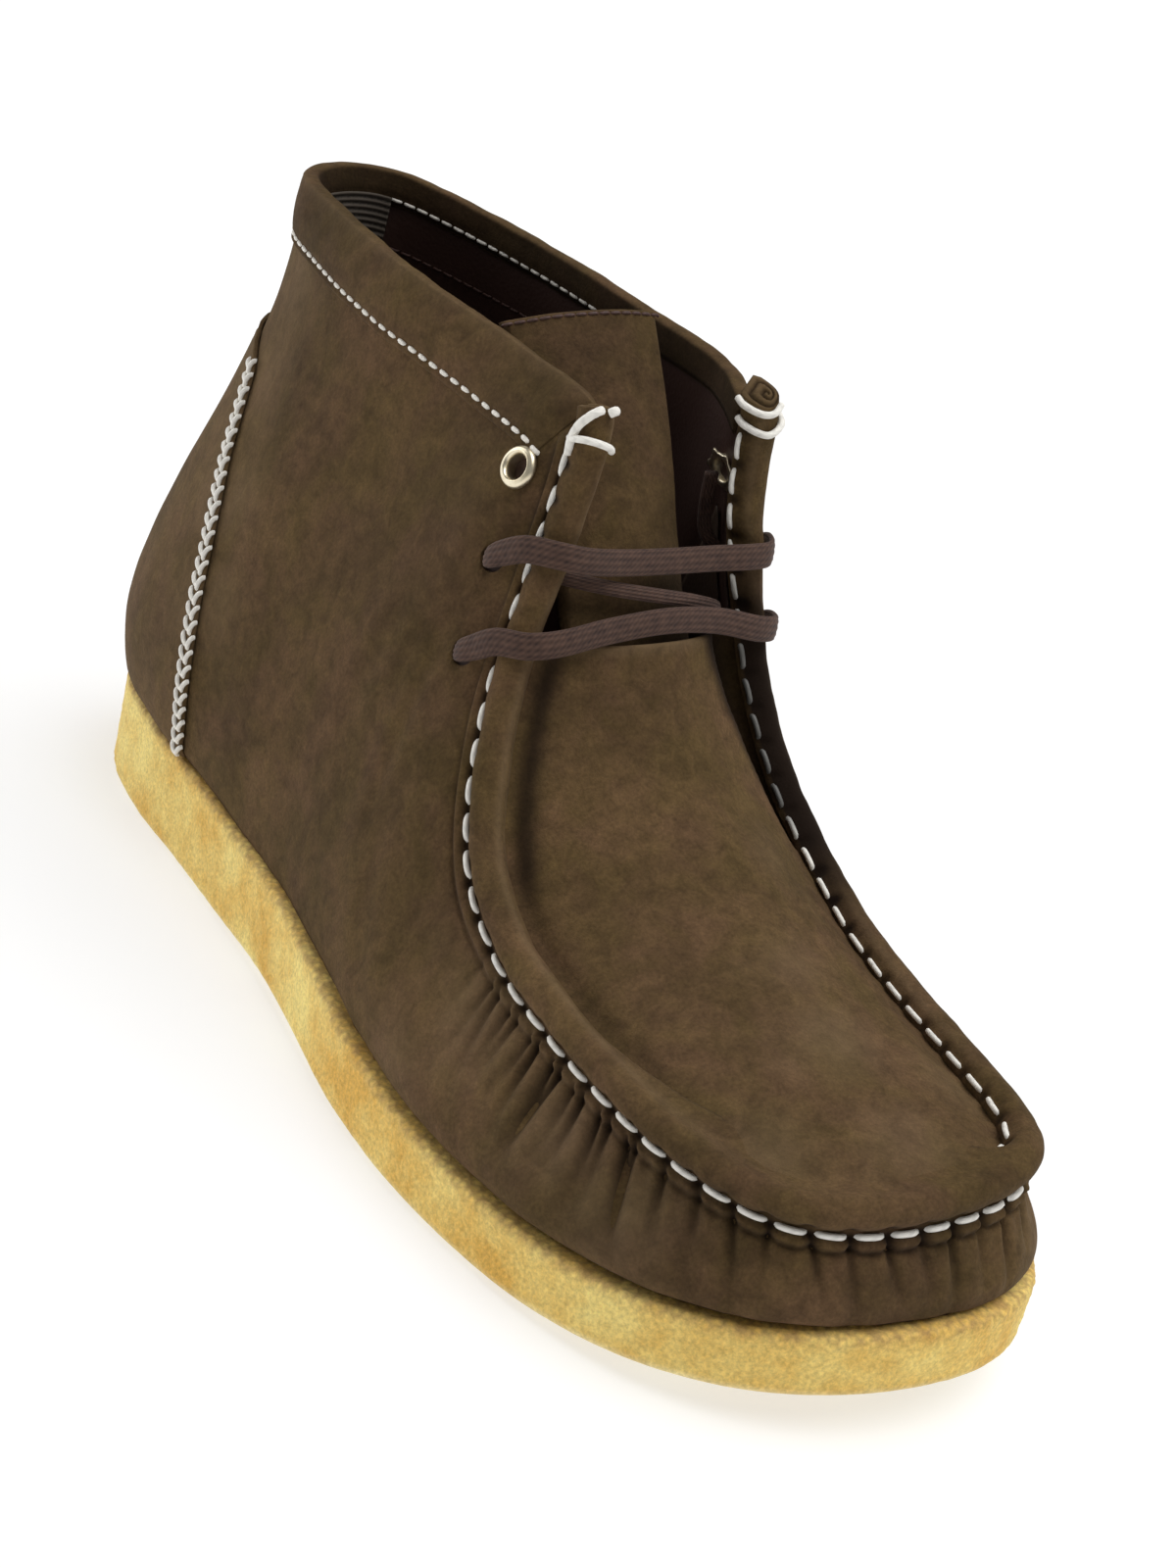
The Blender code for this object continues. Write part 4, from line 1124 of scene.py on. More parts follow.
rings = np.concatenate([ridge, keel[0][:, None], keel[1][:, None]], axis=1)
free = smooth((np.abs(stations) - 2.0) / 2.0)
crest_rub = hump(turns - 0.75, 0.35)[None] * free[:, None] * CREST_RUBBED
dark = HOLE_SHADE * nipped + FOOT_SHADE * hump(math.pi - turns, 0.12)[None]
in_fold = smooth((-stations - SHADE_FROM) / 2.0) * step_down(-stations, APRON_END + 0.35, 0.25)
in_fold = in_fold[:, None] * smooth((1.9 - turns) / 0.8)[None]
dark = clamp(dark + in_fold)
crest_rub, dark = (np.pad(shares, ((0, 0), (0, 2))) for shares in (crest_rub, dark))
ways = (-along[0], along[-1])
tilts = ((across[0] + up[0]) * COIL_TILT, 0 * up[-1])
more = []
for k, way, reach, tilt in zip((0, -1), ways, (RUN_ON_MEDIAL, RUN_ON_LATERAL), tilts):
    spot = rings[k] - rings[k].mean(axis=0)
    length = np.maximum(reach - spot @ tilt, 0.2)
    shares = np.linspace(0, 1, RUN_ON_RINGS + 1)[1:]
    more.append([rings[k] + way * (length * share)[:, None] for share in shares])
rings = np.concatenate([more[0][::-1], rings, more[1]])
crest_rub, dark = (
    np.pad(shares, ((RUN_ON_RINGS, RUN_ON_RINGS), (0, 0)), mode="edge") for shares in (crest_rub, dark)
)
roll_end, roll_way = rings[0], ways[0]
count, around = rings.shape[:2]
faces = grid(count, around, closed=True)
points, rubs, darks = [rings.reshape(-1, 3)], [crest_rub.ravel()], [dark.ravel()]
# The coil at each end: a disc with a spiral groove. Its groove and its middle are painted in shade, and the
# turns between them paler.
number = count * around
for end, way in ((0, unit(ways[0] + tilts[0])), (count - 1, unit(ways[1] + tilts[1]))):
    rim = rings[end]
    centre = rim.mean(axis=0)
    previous = list(range(end * around, (end + 1) * around))
    for j in range(1, COIL_RINGS + 1):
        share = 1 - j / (COIL_RINGS + 1)
        phase = (share * COIL_TURNS - np.arange(around) / around) % 1
        groove = hump(phase - 0.5, 0.17)
        bulge = COIL_BULGE * (1 - share**2) - COIL_GROOVE * groove
        points.append(centre + (rim - centre) * share + way * bulge[:, None])
        rubs.append(0.25 * (1 - groove))
        darks.append(0.75 * groove)
        new = list(range(number, number + around))
        number += around
        faces += joined(previous, new)
        previous = new
    points.append((centre + way * 0.2)[None])
    rubs.append(np.zeros(1))
    darks.append(np.ones(1))
    faces += [(*pair, number) for pair in zip(previous, previous[1:] + previous[:1])]
    number += 1
ridge_piece = piece("seam_ridge", np.concatenate(points), faces, nubuck_look,
                    rubbed=np.concatenate(rubs), sunk=np.concatenate(darks))
keep(ridge_piece, "nubuck", "seam_roll")


# ---- Seam stitches -------------------------------------------------------------------------------
# Heavy waxed off-white thread in a running stitch through the ridge. Each stitch dives into an awl hole at
# either end, and the last ones are carried over the ridge's ends and knotted.


def thread_look(name, colour, twist, depth):
    """Waxed two-ply thread: the plies show as slanting bands along it."""
    made = Finish(name, 0.55)
    turned = made.math("MULTIPLY", made.mark("around"), 2 * math.pi)
    wound = made.math("MULTIPLY_ADD", made.mark("along"), twist * 2 * math.pi, turned)
    plies = made.stretch(made.math("SINE", wound), -1.0, 1.0)
    # The furrows between the plies are painted darker, as shade
    tone = made.ramp(plies, [c * (1 - depth) for c in colour], colour, (0.0, 0.45))
    # Painted shade dims the whole thread where the piece is marked for it
    thread_in_shade = made.mix(made.mark("sunk"), tone, (*[c * 0.1 for c in colour], 1))
    return made.dress(thread_in_shade, plies, depth, 0.0002)


# What a row of stitches can be given, and what it has otherwise, in metres, radians and shares of a turn
STITCH_SIZES = (
    ("Pitch", 0.0073), ("Dash", 0.0065), ("Thread", 0.0017), ("Sink", 0.0008), ("Lift", 0.0006),
    ("Slant", 0.0), ("Jitter", 0.03),
)
ARCH_SHARE = 0.94
ARCH_STEPS = 10
THREAD_SIDES = 7
JITTER_SEED = 3


def build_stitch_tree():
    """Geometry Nodes: lays an arched stitch at each pitch along a path, its back to the path's `away`."""
    tree = bpy.data.node_groups.new("stitch_row", "GeometryNodeTree")
    add = node_adder(tree)
    sockets = {}
    tree.interface.new_socket("Path", in_out="INPUT", socket_type="NodeSocketGeometry")
    for name, value in STITCH_SIZES:
        made = tree.interface.new_socket(name, in_out="INPUT", socket_type="NodeSocketFloat")
        made.default_value = value
        sockets[name] = made.identifier
    sockets["Finish"] = tree.interface.new_socket(
        "Finish", in_out="INPUT", socket_type="NodeSocketMaterial").identifier
    tree.interface.new_socket("Stitches", in_out="OUTPUT", socket_type="NodeSocketGeometry")
    given = tree.nodes.new("NodeGroupInput").outputs

    def times(first, second):
        return add("ShaderNodeMath", {0: first, 1: second}, operation="MULTIPLY")

    def point(**places):
        return add("ShaderNodeCombineXYZ", places)

    def marked(shape, name, value):
        return add("GeometryNodeStoreNamedAttribute", {"Geometry": shape, "Name": name, "Value": value},
                   data_type="FLOAT", domain="POINT")

    line = add("GeometryNodeMeshToCurve", {"Mesh": given["Path"]})
    spaced = add("GeometryNodeResampleCurve", {"Curve": line, "Length": given["Pitch"]}, mode="LENGTH")
    away = add("GeometryNodeInputNamedAttribute", {"Name": "away"}, data_type="FLOAT_VECTOR")
    facing = add("FunctionNodeAlignRotationToVector", {"Vector": add("GeometryNodeInputTangent")}, axis="X")
    upright = add("FunctionNodeAlignRotationToVector", {"Rotation": facing, "Vector": away},
                  axis="Z", pivot_axis="X")
    wobble = add("FunctionNodeRandomValue", {2: times(given["Jitter"], -1.0), 3: given["Jitter"],
                                             "Seed": JITTER_SEED}, data_type="FLOAT")
    lean = add("ShaderNodeMath", {0: given["Slant"], 1: wobble.node.outputs[1]}, operation="ADD")
    turn = add("FunctionNodeEulerToRotation", {0: point(Z=lean)})
    rotation = add("FunctionNodeRotateRotation", {"Rotation": upright, "Rotate By": turn},
                   rotation_space="LOCAL")
    reach = times(given["Dash"], 0.5)
    back = times(reach, -1.0)
    sink = times(given["Sink"], -1.0)
    arch = add("GeometryNodeCurvePrimitiveBezierSegment",
               {"Resolution": ARCH_STEPS, "Start": point(X=back, Z=sink), "End": point(X=reach, Z=sink),
                "Start Handle": point(X=times(back, ARCH_SHARE), Z=given["Lift"]),
                "End Handle": point(X=times(reach, ARCH_SHARE), Z=given["Lift"])})
    circle = add("GeometryNodeCurvePrimitiveCircle",
                 {"Resolution": THREAD_SIDES, "Radius": times(given["Thread"], 0.5)})
    travel = add("GeometryNodeSplineParameter").node.outputs
    strand = add("GeometryNodeCurveToMesh",
                 {"Curve": marked(arch, "along", travel["Length"]),
                  "Profile Curve": marked(circle, "around", travel["Factor"]), "Fill Caps": True})
    laid = add("GeometryNodeInstanceOnPoints", {"Points": spaced, "Instance": strand, "Rotation": rotation})
    real = add("GeometryNodeRealizeInstances", {"Geometry": laid})
    even = add("GeometryNodeSetShadeSmooth", {"Geometry": real})
    finished = add("GeometryNodeSetMaterial", {"Geometry": even, "Material": given["Finish"]})
    tree.links.new(finished, tree.nodes.new("NodeGroupOutput").inputs[0])
    return tree, sockets


stitch_tree, stitch_sockets = build_stitch_tree()


def stitch_row(name, path, away, look, thread_shade=None, **sizes):
    """A row of stitches along a path, given in millimetres; `away` points off the leather at each point.

    The argument after `look` says how much painted shade dims the thread at each point of the path, from 0 to
    1.
    """
    mesh = bpy.data.meshes.new(name)
    mesh.from_pydata(((path - MIDDLE) * MM).tolist(), [(i, i + 1) for i in range(len(path) - 1)], [])
    stored = mesh.attributes.new("away", "FLOAT_VECTOR", "POINT")
    stored.data.foreach_set("vector", away.ravel())
    row = bpy.data.objects.new(name, mesh)
    bpy.context.scene.collection.objects.link(row)
    lay = row.modifiers.new("stitches", "NODES")
    lay.node_group = stitch_tree
    for size, value in sizes.items():
        lay[stitch_sockets[size]] = float(value) if size in ("Slant", "Jitter") else value * MM
    lay[stitch_sockets["Finish"]] = look
    settle(row)
    if thread_shade is not None:
        spots = np.empty(len(row.data.vertices) * 3)
        row.data.vertices.foreach_get("co", spots)
        spots = spots.reshape(-1, 3) / MM + MIDDLE
        closest = [np.argmin(np.linalg.norm(path - spot, axis=1)) for spot in spots]
        row.data.attributes.new("sunk", "FLOAT", "POINT").data.foreach_set("value", thread_shade[closest])
    keep(row, "stitching")


def through(values, places):
    """A smooth curve through the given values at places counted in them."""
    values = np.asarray(values, float)
    padded = np.concatenate([[2 * values[0] - values[1]], values, [2 * values[-1] - values[-2]]])
    k = np.clip(places.astype(int), 0, len(values) - 2)
    f = (places - k).reshape((-1,) + (1,) * (values.ndim - 1))
    before, here, after, beyond = (padded[k + i] for i in range(4))
    square = 2 * before - 5 * here + 4 * after - beyond
    cube = 3 * (here - after) + beyond - before
    return here + 0.5 * f * (after - before + f * (square + f * cube))


def tube(name, rings, look, travelled, turns):
    """A tube through a stack of rings, closed at both ends, that knows how far along and around it runs."""
    count, around = rings.shape[:2]
    faces = grid(count, around, closed=True)
    faces += [tuple(range(around)), tuple(range((count - 1) * around, count * around))]
    return piece(name, rings, faces, look, along=np.repeat(travelled, around),
                 around=np.tile(turns / (2 * math.pi), count))


STRAND_SIDES = 9
STRAND_STEPS = 6


def full_turn(count):
    """The angles of so many places round a full turn."""
    return np.arange(count) / count * 2 * math.pi


def strand(name, points, thick):
    """One round strand of white thread through the given points."""
    spine = through(points, np.linspace(0, len(points) - 1, STRAND_STEPS * (len(points) - 1) + 1))
    ahead = unit(np.gradient(spine, axis=0))
    side = unit(np.cross(ahead, (0.31, 0.17, 0.93)))
    other = np.cross(ahead, side)
    turns = full_turn(STRAND_SIDES)
    rings = spine[:, None] + thick / 2 * (
        side[:, None] * np.cos(turns)[None, :, None] + other[:, None] * np.sin(turns)[None, :, None]
    )
    keep(tube(name, rings, white_thread, run_along(spine) * MM, turns), "stitching")


# Heavy thread: its colour, its turns in a metre, and how deep the furrows between its plies are, in relief and
# in painted shade
THREAD_WHITE = (0.94, 0.91, 0.84)
THREAD_TWIST = 420.0
THREAD_FURROW = 0.13
white_thread = thread_look("white_thread", THREAD_WHITE, THREAD_TWIST, THREAD_FURROW)
SEAM_SIZES = {"Dash": 4.7, "Thread": 1.3, "Sink": 1.0, "Lift": 0.3, "Jitter": 0.03}
# The pitch is taken a hair short, so that the last stitch is laid too
SHORTEN = 0.999
stations = np.linspace(outer_middles[0], outer_middles[-1], 900)
across = seam_frame(stations)[1]
stitch_row("seam_stitches_outer", outer_stitches(stations), unit(wall_normal(stations, 0.97) - across * 0.3),
           white_thread, Pitch=outer_pitch * SHORTEN, **SEAM_SIZES)
stations = np.linspace(inner_medial[1][0], inner_medial[1][-1], 500)
_, across, up, _ = seam_frame(stations)
shadowed = 0.96 * clamp(2.5 * medial_fold(stations)) * step_down(-stations, APRON_END + 0.2, 0.3)
stitch_row("seam_stitches_inner", inner_stitches(stations), unit(up * 0.25 + across), white_thread, shadowed,
           Pitch=inner_medial[2] * SHORTEN, **{**SEAM_SIZES, "Thread": 1.15})

# The thread's lateral ends, carried over the ridge: each point's place past its last station, across and up
END_STRANDS = (
    ("end_loop_lateral", 1.8, ((-8.0, -4.2, 0.6), (-5.5, -4.5, 2.2), (-2.8, -4.2, 4.2), (-0.8, -3.0, 6.0),
                               (0.4, -1.6, 6.7), (1.0, -0.2, 6.0))),
    ("cross_stitch_lateral", 1.5, ((-5.0, -4.3, 0.8), (-5.0, -4.5, 3.6), (-5.0, -2.6, 6.4), (-5.4, 0.0, 6.9),
                                   (-6.0, 2.2, 6.4), (-6.6, 3.2, 4.6))),
    ("knot_lateral", 1.9, ((0.6, 1.4, 6.2), (1.0, 2.0, 6.6), (1.2, 2.7, 6.2))),
)
way = seam_frame(RIDGE_END)[3]
for name, thick, route in END_STRANDS:
    strand(name, [at_seam(RIDGE_END, x, z) + way * past for past, x, z in route], thick)
# Two turns of thread round the medial roll: how far under its coil, and the points of the rim they pass
WRAPS = (
    ("coil_loop_medial", 1.0, (27, 0, 3, 7, 11, 14)),
    ("coil_wrap_medial", 5.0, (27, 0, 4, 9, 14, 19, 23)),
)
for name, under, passed in WRAPS:
    rim = roll_end[list(passed)]
    strand(name, rim + unit(rim - roll_end.mean(axis=0)) * 0.55 - roll_way * under, 1.5)


# ---- Lining --------------------------------------------------------------------------------------
# Thin dark leather glued inside the quarters and round the heel, with a facing of brown leather over it
# behind each quarter's eyelets. The vamp in front of it is left unlined.
LINING_FROM = 6.6
LINING_THICK = 0.6
# The steps in which a sheet's edge rounds over
EDGE_STEPS = np.array([0.0, 0.06, 0.2, 0.42, 0.7, 1.0])


def soft_places(length, turn, step):
    """Places from 0 to 1 across a length, crowded within `turn` of both ends, where the edge rounds over."""
    middle = np.linspace(turn, length - turn, max(3, round((length - 2 * turn) / step)))[1:-1]
    return np.concatenate([EDGE_STEPS * turn, middle, length - EDGE_STEPS[::-1] * turn]) / length


def rounded(distance, turn):
    """0 at an edge, 1 where its rounding ends."""
    return np.sqrt(1 - (1 - clamp(distance / turn)) ** 2)


def distances(places):
    """How far each point of a grid lies from each of the grid's four sides, in millimetres."""
    from_left, from_first = run_along(places, 1), run_along(places)
    return from_left, from_left[:, -1:] - from_left, from_first, from_first[-1:] - from_first


def sheet(name, ground, away, thick, turn, look, sides=(True, True, True, True), **marks):
    """A closed sheet on a grid of points: its top stands `thick` above them, rounded at the given sides."""
    share = np.ones(ground.shape[:2])
    for used, distance in zip(sides, distances(ground)):
        if used:
            share = share * rounded(distance, turn)
    top = ground + away * (thick * share)[..., None]
    points = np.concatenate([top.reshape(-1, 3), ground.reshape(-1, 3)])
    marks = {mark: twice(values) for mark, values in marks.items()}
    return piece(name, points, closed_sheet(points, *share.shape), look, **marks)


def behind_wall(s, t, depth):
    """A point behind the wall's outer face, and the direction out of the wall there."""
    away = wall_normal(s, t)
    return wall(s, t) - away * depth, away


stations = np.linspace(LINING_FROM, ROUND - LINING_FROM, 260)[None]
heights = np.linspace(0.04, 0.985, 40)[:, None]
inside, away = behind_wall(stations, heights, SHELL + 0.1 + LINING_THICK)
inside += away * (bump_field(inside, 18.0, 2, 8.0) * 0.25)[..., None]
keep(sheet("quarter_lining", inside, away, LINING_THICK, 0.3, lining_look), "lining")

# The facings: the stations they lie between, their lower end as a share of the wall's height, how far they
# rise from it, and how far their upper end is cut round
FACING = (8.25, 9.72)
FACING_LOW = 0.42
FACING_RISE = 0.435
FACING_ROUND = 0.03
# The facings' brown is painted dark, partly the leather's own colour and partly the shade inside the throat
FACING_BROWN = (0.06, 0.036, 0.022)
facing_look = lining_leather("facing_leather", FACING_BROWN)
for name, ends in (("facing_lateral", FACING), ("facing_medial", (ROUND - FACING[1], ROUND - FACING[0]))):
    stations = np.linspace(*ends, 24)[None]
    rise = np.linspace(0.0, 1.0, 60)[:, None]
    level = (stations - ends[0]) / (ends[1] - ends[0]) * 2 - 1
    height = FACING_LOW + (FACING_RISE - FACING_ROUND * level**2) * rise
    over, away = behind_wall(stations, height, LINED + 0.75)
    keep(sheet(name, over, away, 0.5, 0.4, facing_look), "lining")


# ---- Back strip ----------------------------------------------------------------------------------
# A strip of dark grosgrain ribbon, glued over the lining down the middle of the heel. The ribbon is woven
# with close ribs across it.
STRIP_HALF = 0.78
STRIP_RIB = 1.5
RIB_DEPTH = 0.3
STRIP_HEIGHTS = (0.45, 0.962)
RIBBON_SHADED = (0.02, 0.014, 0.01)
RIBBON_LIT = (0.085, 0.067, 0.05)

ribbed = Finish("grosgrain", 0.8)
# Painted light: each rib's crest is painted lit, and its hollow painted in shade, near black
lit = ribbed.math("MULTIPLY_ADD", ribbed.mark("crest"), 0.8, ribbed.noise(1800.0, 2.0), use_clamp=True)
ribbed_look = ribbed.dress(ribbed.ramp(lit, RIBBON_SHADED, RIBBON_LIT, (0.3, 1.0)))
stations = np.linspace(HEEL_ROW - STRIP_HALF, HEEL_ROW + STRIP_HALF, 50)[None]
over, away = behind_wall(stations, np.linspace(*STRIP_HEIGHTS, 420)[:, None], LINED + 0.95)
travel = run_along(over[:, 25])[:, None]
ribs = 0.5 + 0.5 * np.cos(travel / STRIP_RIB * 2 * math.pi) + 0 * stations
over -= away * (RIB_DEPTH * ribs)[..., None]
keep(sheet("heel_back_strip", over, away, 0.5, 0.3, ribbed_look, crest=ribs), "back_strip")


# ---- Collar binding ------------------------------------------------------------------------------
# A strip of nubuck folded over the collar's top edge with a little padding under it, from one ridge round
# the heel to the other. It is sewn through near its lower edge outside, and with a white line inside.

# Its first station, its lower edges outside and inside as shares of the wall's height, how much of that
# height its cut edges round over in, how far its faces lie off the wall, and how thick its padding is
BAND_FROM = 10.02
BAND_LOW = 0.887
BAND_INNER_LOW = 0.945
BAND_EDGE = 0.006
BAND_OUT = 0.95
BAND_IN = -2.7
BAND_PADDING = 0.75
BAND_WAVE = 0.32
BAND_SOFT_END = 0.45
# Where the stitches are sewn, as shares of the band's outer and inner faces, and how far they draw it in
SEWN_OUTSIDE = 0.13
SEWN_INSIDE = 0.25
DRAWN_IN = 0.45
# The rows inside: where they begin, how far short of the heel's middle the white one stops, and how high
# the lining's lies
INNER_FROM = 11.7
INNER_SHORT = 0.85
LINING_SEAM = 0.87
FINE_SIZES = {"Sink": 0.3, "Lift": 0.25, "Jitter": 0.04}

stations = np.linspace(BAND_FROM, ROUND - BAND_FROM, 520)
full = smooth(np.minimum(stations - BAND_FROM, ROUND - BAND_FROM - stations) / BAND_SOFT_END)


def band_point(where, height, off, lift=0.0):
    """A point of the band: off the wall at a height, and lifted above the wall's top."""
    rise = unit(wall(where, 1.0) - wall(where, 0.95))
    return wall(where, height) + wall_normal(where, height) * np.asarray(off)[..., None] + (
        rise * np.asarray(lift)[..., None])


# The band's section as a chain: its outer edge, its padded face, the turn over the top, and its inner face
chain = []
for share in EDGE_STEPS:
    chain.append(band_point(stations, BAND_LOW + BAND_EDGE * share,
                            0.1 + (0.2 + (BAND_OUT - 0.3) * full) * rounded(share, 1.0)))
for share in np.linspace(0.06, 0.95, 14):
    sewn = DRAWN_IN * hump(share - SEWN_OUTSIDE, 0.045)
    swell = BAND_PADDING * math.sin(max(0.0, share - SEWN_OUTSIDE) / (1 - SEWN_OUTSIDE) * math.pi) ** 0.8
    chain.append(band_point(stations, BAND_LOW + (1 - BAND_LOW) * share,
                            0.3 + (BAND_OUT - 0.3) * full + (swell - sewn) * full))
middle, reach = (BAND_OUT + BAND_IN) / 2, (BAND_OUT - BAND_IN) / 2
for turn in np.linspace(0, math.pi, 15):
    bend = math.copysign(abs(math.cos(turn)) ** 0.7, math.cos(turn))
    chain.append(band_point(stations, 1.0, middle + reach * bend * (0.55 + 0.45 * full),
                            0.15 + 1.0 * math.sin(turn) ** 0.7 * (0.3 + 0.7 * full)))
for share in np.linspace(0.9, 0.1, 6):
    sewn = 0.3 * hump(share - SEWN_INSIDE, 0.12)
    chain.append(band_point(stations, BAND_INNER_LOW + (1 - BAND_INNER_LOW) * share,
                            BAND_IN + sewn - 0.25 * math.sin(share * math.pi)))
for share in EDGE_STEPS[::-1]:
    chain.append(band_point(stations, BAND_INNER_LOW + BAND_EDGE * share,
                            -LINED + (BAND_IN + LINED) * rounded(share, 1.0)))
chain += [band_point(stations, 1.0, -LINED - 0.1), band_point(stations, 1.0, 0.05)]
rings = np.stack(chain, axis=1)
wave = bump_field(rings, 14.0, 3, 12.0) * BAND_WAVE * full[:, None]
rings += unit(rings - band_point(stations, 0.97, -1.0)[:, None]) * wave[..., None]
count, around = rings.shape[:2]
ends = [rings[0].mean(axis=0), rings[-1].mean(axis=0)]
faces = grid(count, around, closed=True)
for i in range(around):
    k = (i + 1) % around
    faces.append((i, k, count * around))
    faces.append(((count - 1) * around + i, (count - 1) * around + k, count * around + 1))
numbers = np.arange(around)
# Painted shade along the band's outer cut edge and over its inner face inside the collar; the top of its turn
# is rubbed paler
top_edge = 0.25 * hump(numbers - 22, 3.0)
band_shade = 0.5 * hump(numbers, 1.6) + 0.55 * smooth((numbers - 28) / 6)
# The binding is a darker copy of the nubuck: painted shade that tones down the light falling on the band
binding_look = nubuck("binding_nubuck", 0.85)
band = piece("collar_binding", np.concatenate([rings.reshape(-1, 3), ends]), faces, binding_look,
             rubbed=np.append(np.tile(top_edge, count), [0, 0]),
             sunk=np.append(np.tile(band_shade, count), [0, 0]))
keep(band, "nubuck", "collar_band")

FINE_TWIST = 900.0
fine_thread = thread_look("fine_thread", (0.92, 0.88, 0.8), FINE_TWIST, 0.15)
brown_thread = thread_look("brown_thread", (0.07, 0.03, 0.022), FINE_TWIST, 0.3)
stations = np.linspace(BAND_FROM + 0.05, ROUND - BAND_FROM - 0.05, 700)
height = BAND_LOW + (1 - BAND_LOW) * SEWN_OUTSIDE
from_end = np.minimum(stations, ROUND - stations) - BAND_FROM
sewn_out = 0.3 + (BAND_OUT - 0.3 - DRAWN_IN) * smooth(from_end / BAND_SOFT_END)
stitch_row("collar_stitches", band_point(stations, height, sewn_out), wall_normal(stations, height),
           fine_thread, Pitch=3.7, Dash=2.0, Thread=1.05, Sink=0.35, Lift=0.4, Jitter=0.05)
height = BAND_INNER_LOW + (1 - BAND_INNER_LOW) * SEWN_INSIDE
for name, start, end in (("lateral", INNER_FROM, HEEL_ROW - INNER_SHORT),
                         ("medial", HEEL_ROW + INNER_SHORT, ROUND - INNER_FROM)):
    stations = np.linspace(start, end, 300)
    stitch_row("collar_stitches_inside_" + name, band_point(stations, height, BAND_IN + 0.05),
               -wall_normal(stations, height), fine_thread,
               Pitch=3.2, Dash=2.3, Thread=0.8, **FINE_SIZES)
stations = np.linspace(INNER_FROM, ROUND - INNER_FROM, 600)
stitch_row("lining_stitches", band_point(stations, LINING_SEAM, -LINED - 0.1),
           -wall_normal(stations, LINING_SEAM), brown_thread, Pitch=2.8, Dash=2.2, Thread=0.6, **FINE_SIZES)


# ---- Heel counter --------------------------------------------------------------------------------
# The back part of the quarters: a panel of nubuck lapped over them round the heel, skived thin at its edge
# and sewn down with a double chain of white thread.

# Its top and how much of the wall's height its edge rounds over in, its thickness and how far it stands off,
# and how much paler its nap is painted, as painted light on the heel
COUNTER_TOP = 0.72
COUNTER_TURN = 0.012
COUNTER_THICK = 0.95
COUNTER_OFF = 0.35
COUNTER_PALE = 0.12


def counter_edge(t):
    """The station of the counter's lateral edge: it leans back as it climbs, and turns over at the top."""
    return 11.2 + 1.5 * t + 2.5 * t**2 + 0.65 * clamp((t - 0.66) / 0.06) ** 2


def on_quarters(s, t, lift):
    """A point lifted off the quarters' outer face, and the direction out of it."""
    away = wall_normal(s, t)
    return wall(s, t) + away * (leather(s, t)[0] + lift)[..., None], away


top_turn = COUNTER_TOP - COUNTER_TURN * (1 - EDGE_STEPS)
heights = np.concatenate([np.linspace(0.0, COUNTER_TOP - COUNTER_TURN, 44), top_turn[1:]])
across = soft_places(120.0, 1.0, 1.1)
edge = counter_edge(heights)[:, None]
stations = edge + (ROUND - 2 * edge) * across
heights = np.broadcast_to(heights[:, None], stations.shape)
ground, away = on_quarters(stations, heights, COUNTER_OFF)
counter = sheet("heel_counter_panel", ground, away, COUNTER_THICK, 1.0, nubuck_look,
                sides=(True, True, False, True), rubbed=COUNTER_PALE + wall_patches(ground, PALE_PATCHES))
keep(counter, "nubuck", "heel_counter")

# The chain: two rows of slanting stitches side by side, which meet in a point, as in a braid. Its middle
# lies CHAIN_IN inside the counter's edge, where a station is STATION_WIDE, all in millimetres.
CHAIN_IN = 1.5
CHAIN_HALF = 1.0
STATION_WIDE = 24.0
CHAIN_TOP = 0.66
CHAIN_LEAN = 0.5
heights = np.linspace(0.015, CHAIN_TOP, 300)
for name, medial in (("lateral", False), ("medial", True)):
    for row, side in (("front", -1), ("back", 1)):
        edge = counter_edge(heights) + (CHAIN_IN + side * CHAIN_HALF) / STATION_WIDE
        edge = ROUND - edge if medial else edge
        path, away = on_quarters(edge, heights, COUNTER_OFF + COUNTER_THICK + 0.1)
        stitch_row(f"counter_chain_{name}_{row}", path, away, white_thread,
                   Pitch=3.3, Dash=3.3, Thread=1.15, Sink=0.6, Lift=0.6, Jitter=0.06,
                   Slant=CHAIN_LEAN * side * (-1 if medial else 1))


# ---- Tongue --------------------------------------------------------------------------------------
# A single thickness of nubuck backed with lining, sewn under the apron's end and stitched along its top. It
# stands up free in the throat and carries no mark.

# Its sections from the bottom up: left edge, right edge, and how far it bows out between them
TONGUE = (
    ((-17.0, -25.5, 74.5), (18.0, -26.5, 75.5), 4.0),
    ((-16.5, -10.5, 95.5), (16.0, -11.0, 96.5), 4.5),
    ((-16.0, -1.0, 113.0), (14.8, -1.5, 114.0), 5.0),
    ((-16.0, 12.5, 130.0), (14.6, 8.0, 133.5), 4.5),
    ((-16.5, 32.0, 149.3), (17.0, 25.0, 154.6), 3.0),
)
TONGUE_THICK = 2.4
TONGUE_ROUND = 1.2
# How far under its top edge it is stitched, and how dark and up to what height it lies in shade
TONGUE_SEWN = 1.7
TONGUE_SHADE = 0.75
TONGUE_SHADE_TOP = 113.0

# The tongue is a darker copy of the nubuck, painted shade for the throat it stands in
tongue_look = nubuck("tongue_nubuck", 0.8)
rows = soft_places(90.0, TONGUE_ROUND, 1.2) * (len(TONGUE) - 1)
left, right, bow = (through([row[k] for row in TONGUE], rows) for k in range(3))
climb = np.gradient((left + right) / 2, axis=0)
away = unit(np.cross(right - left, climb))[:, None]
across = soft_places(33.0, TONGUE_ROUND, 1.0)
front = between(left, right, across)
front = front + away * (bow[:, None] * (1 - (2 * across[None] - 1) ** 2))[..., None]
front += away * (bump_field(front, 22.0, 3, 3.0) * 0.5)[..., None]
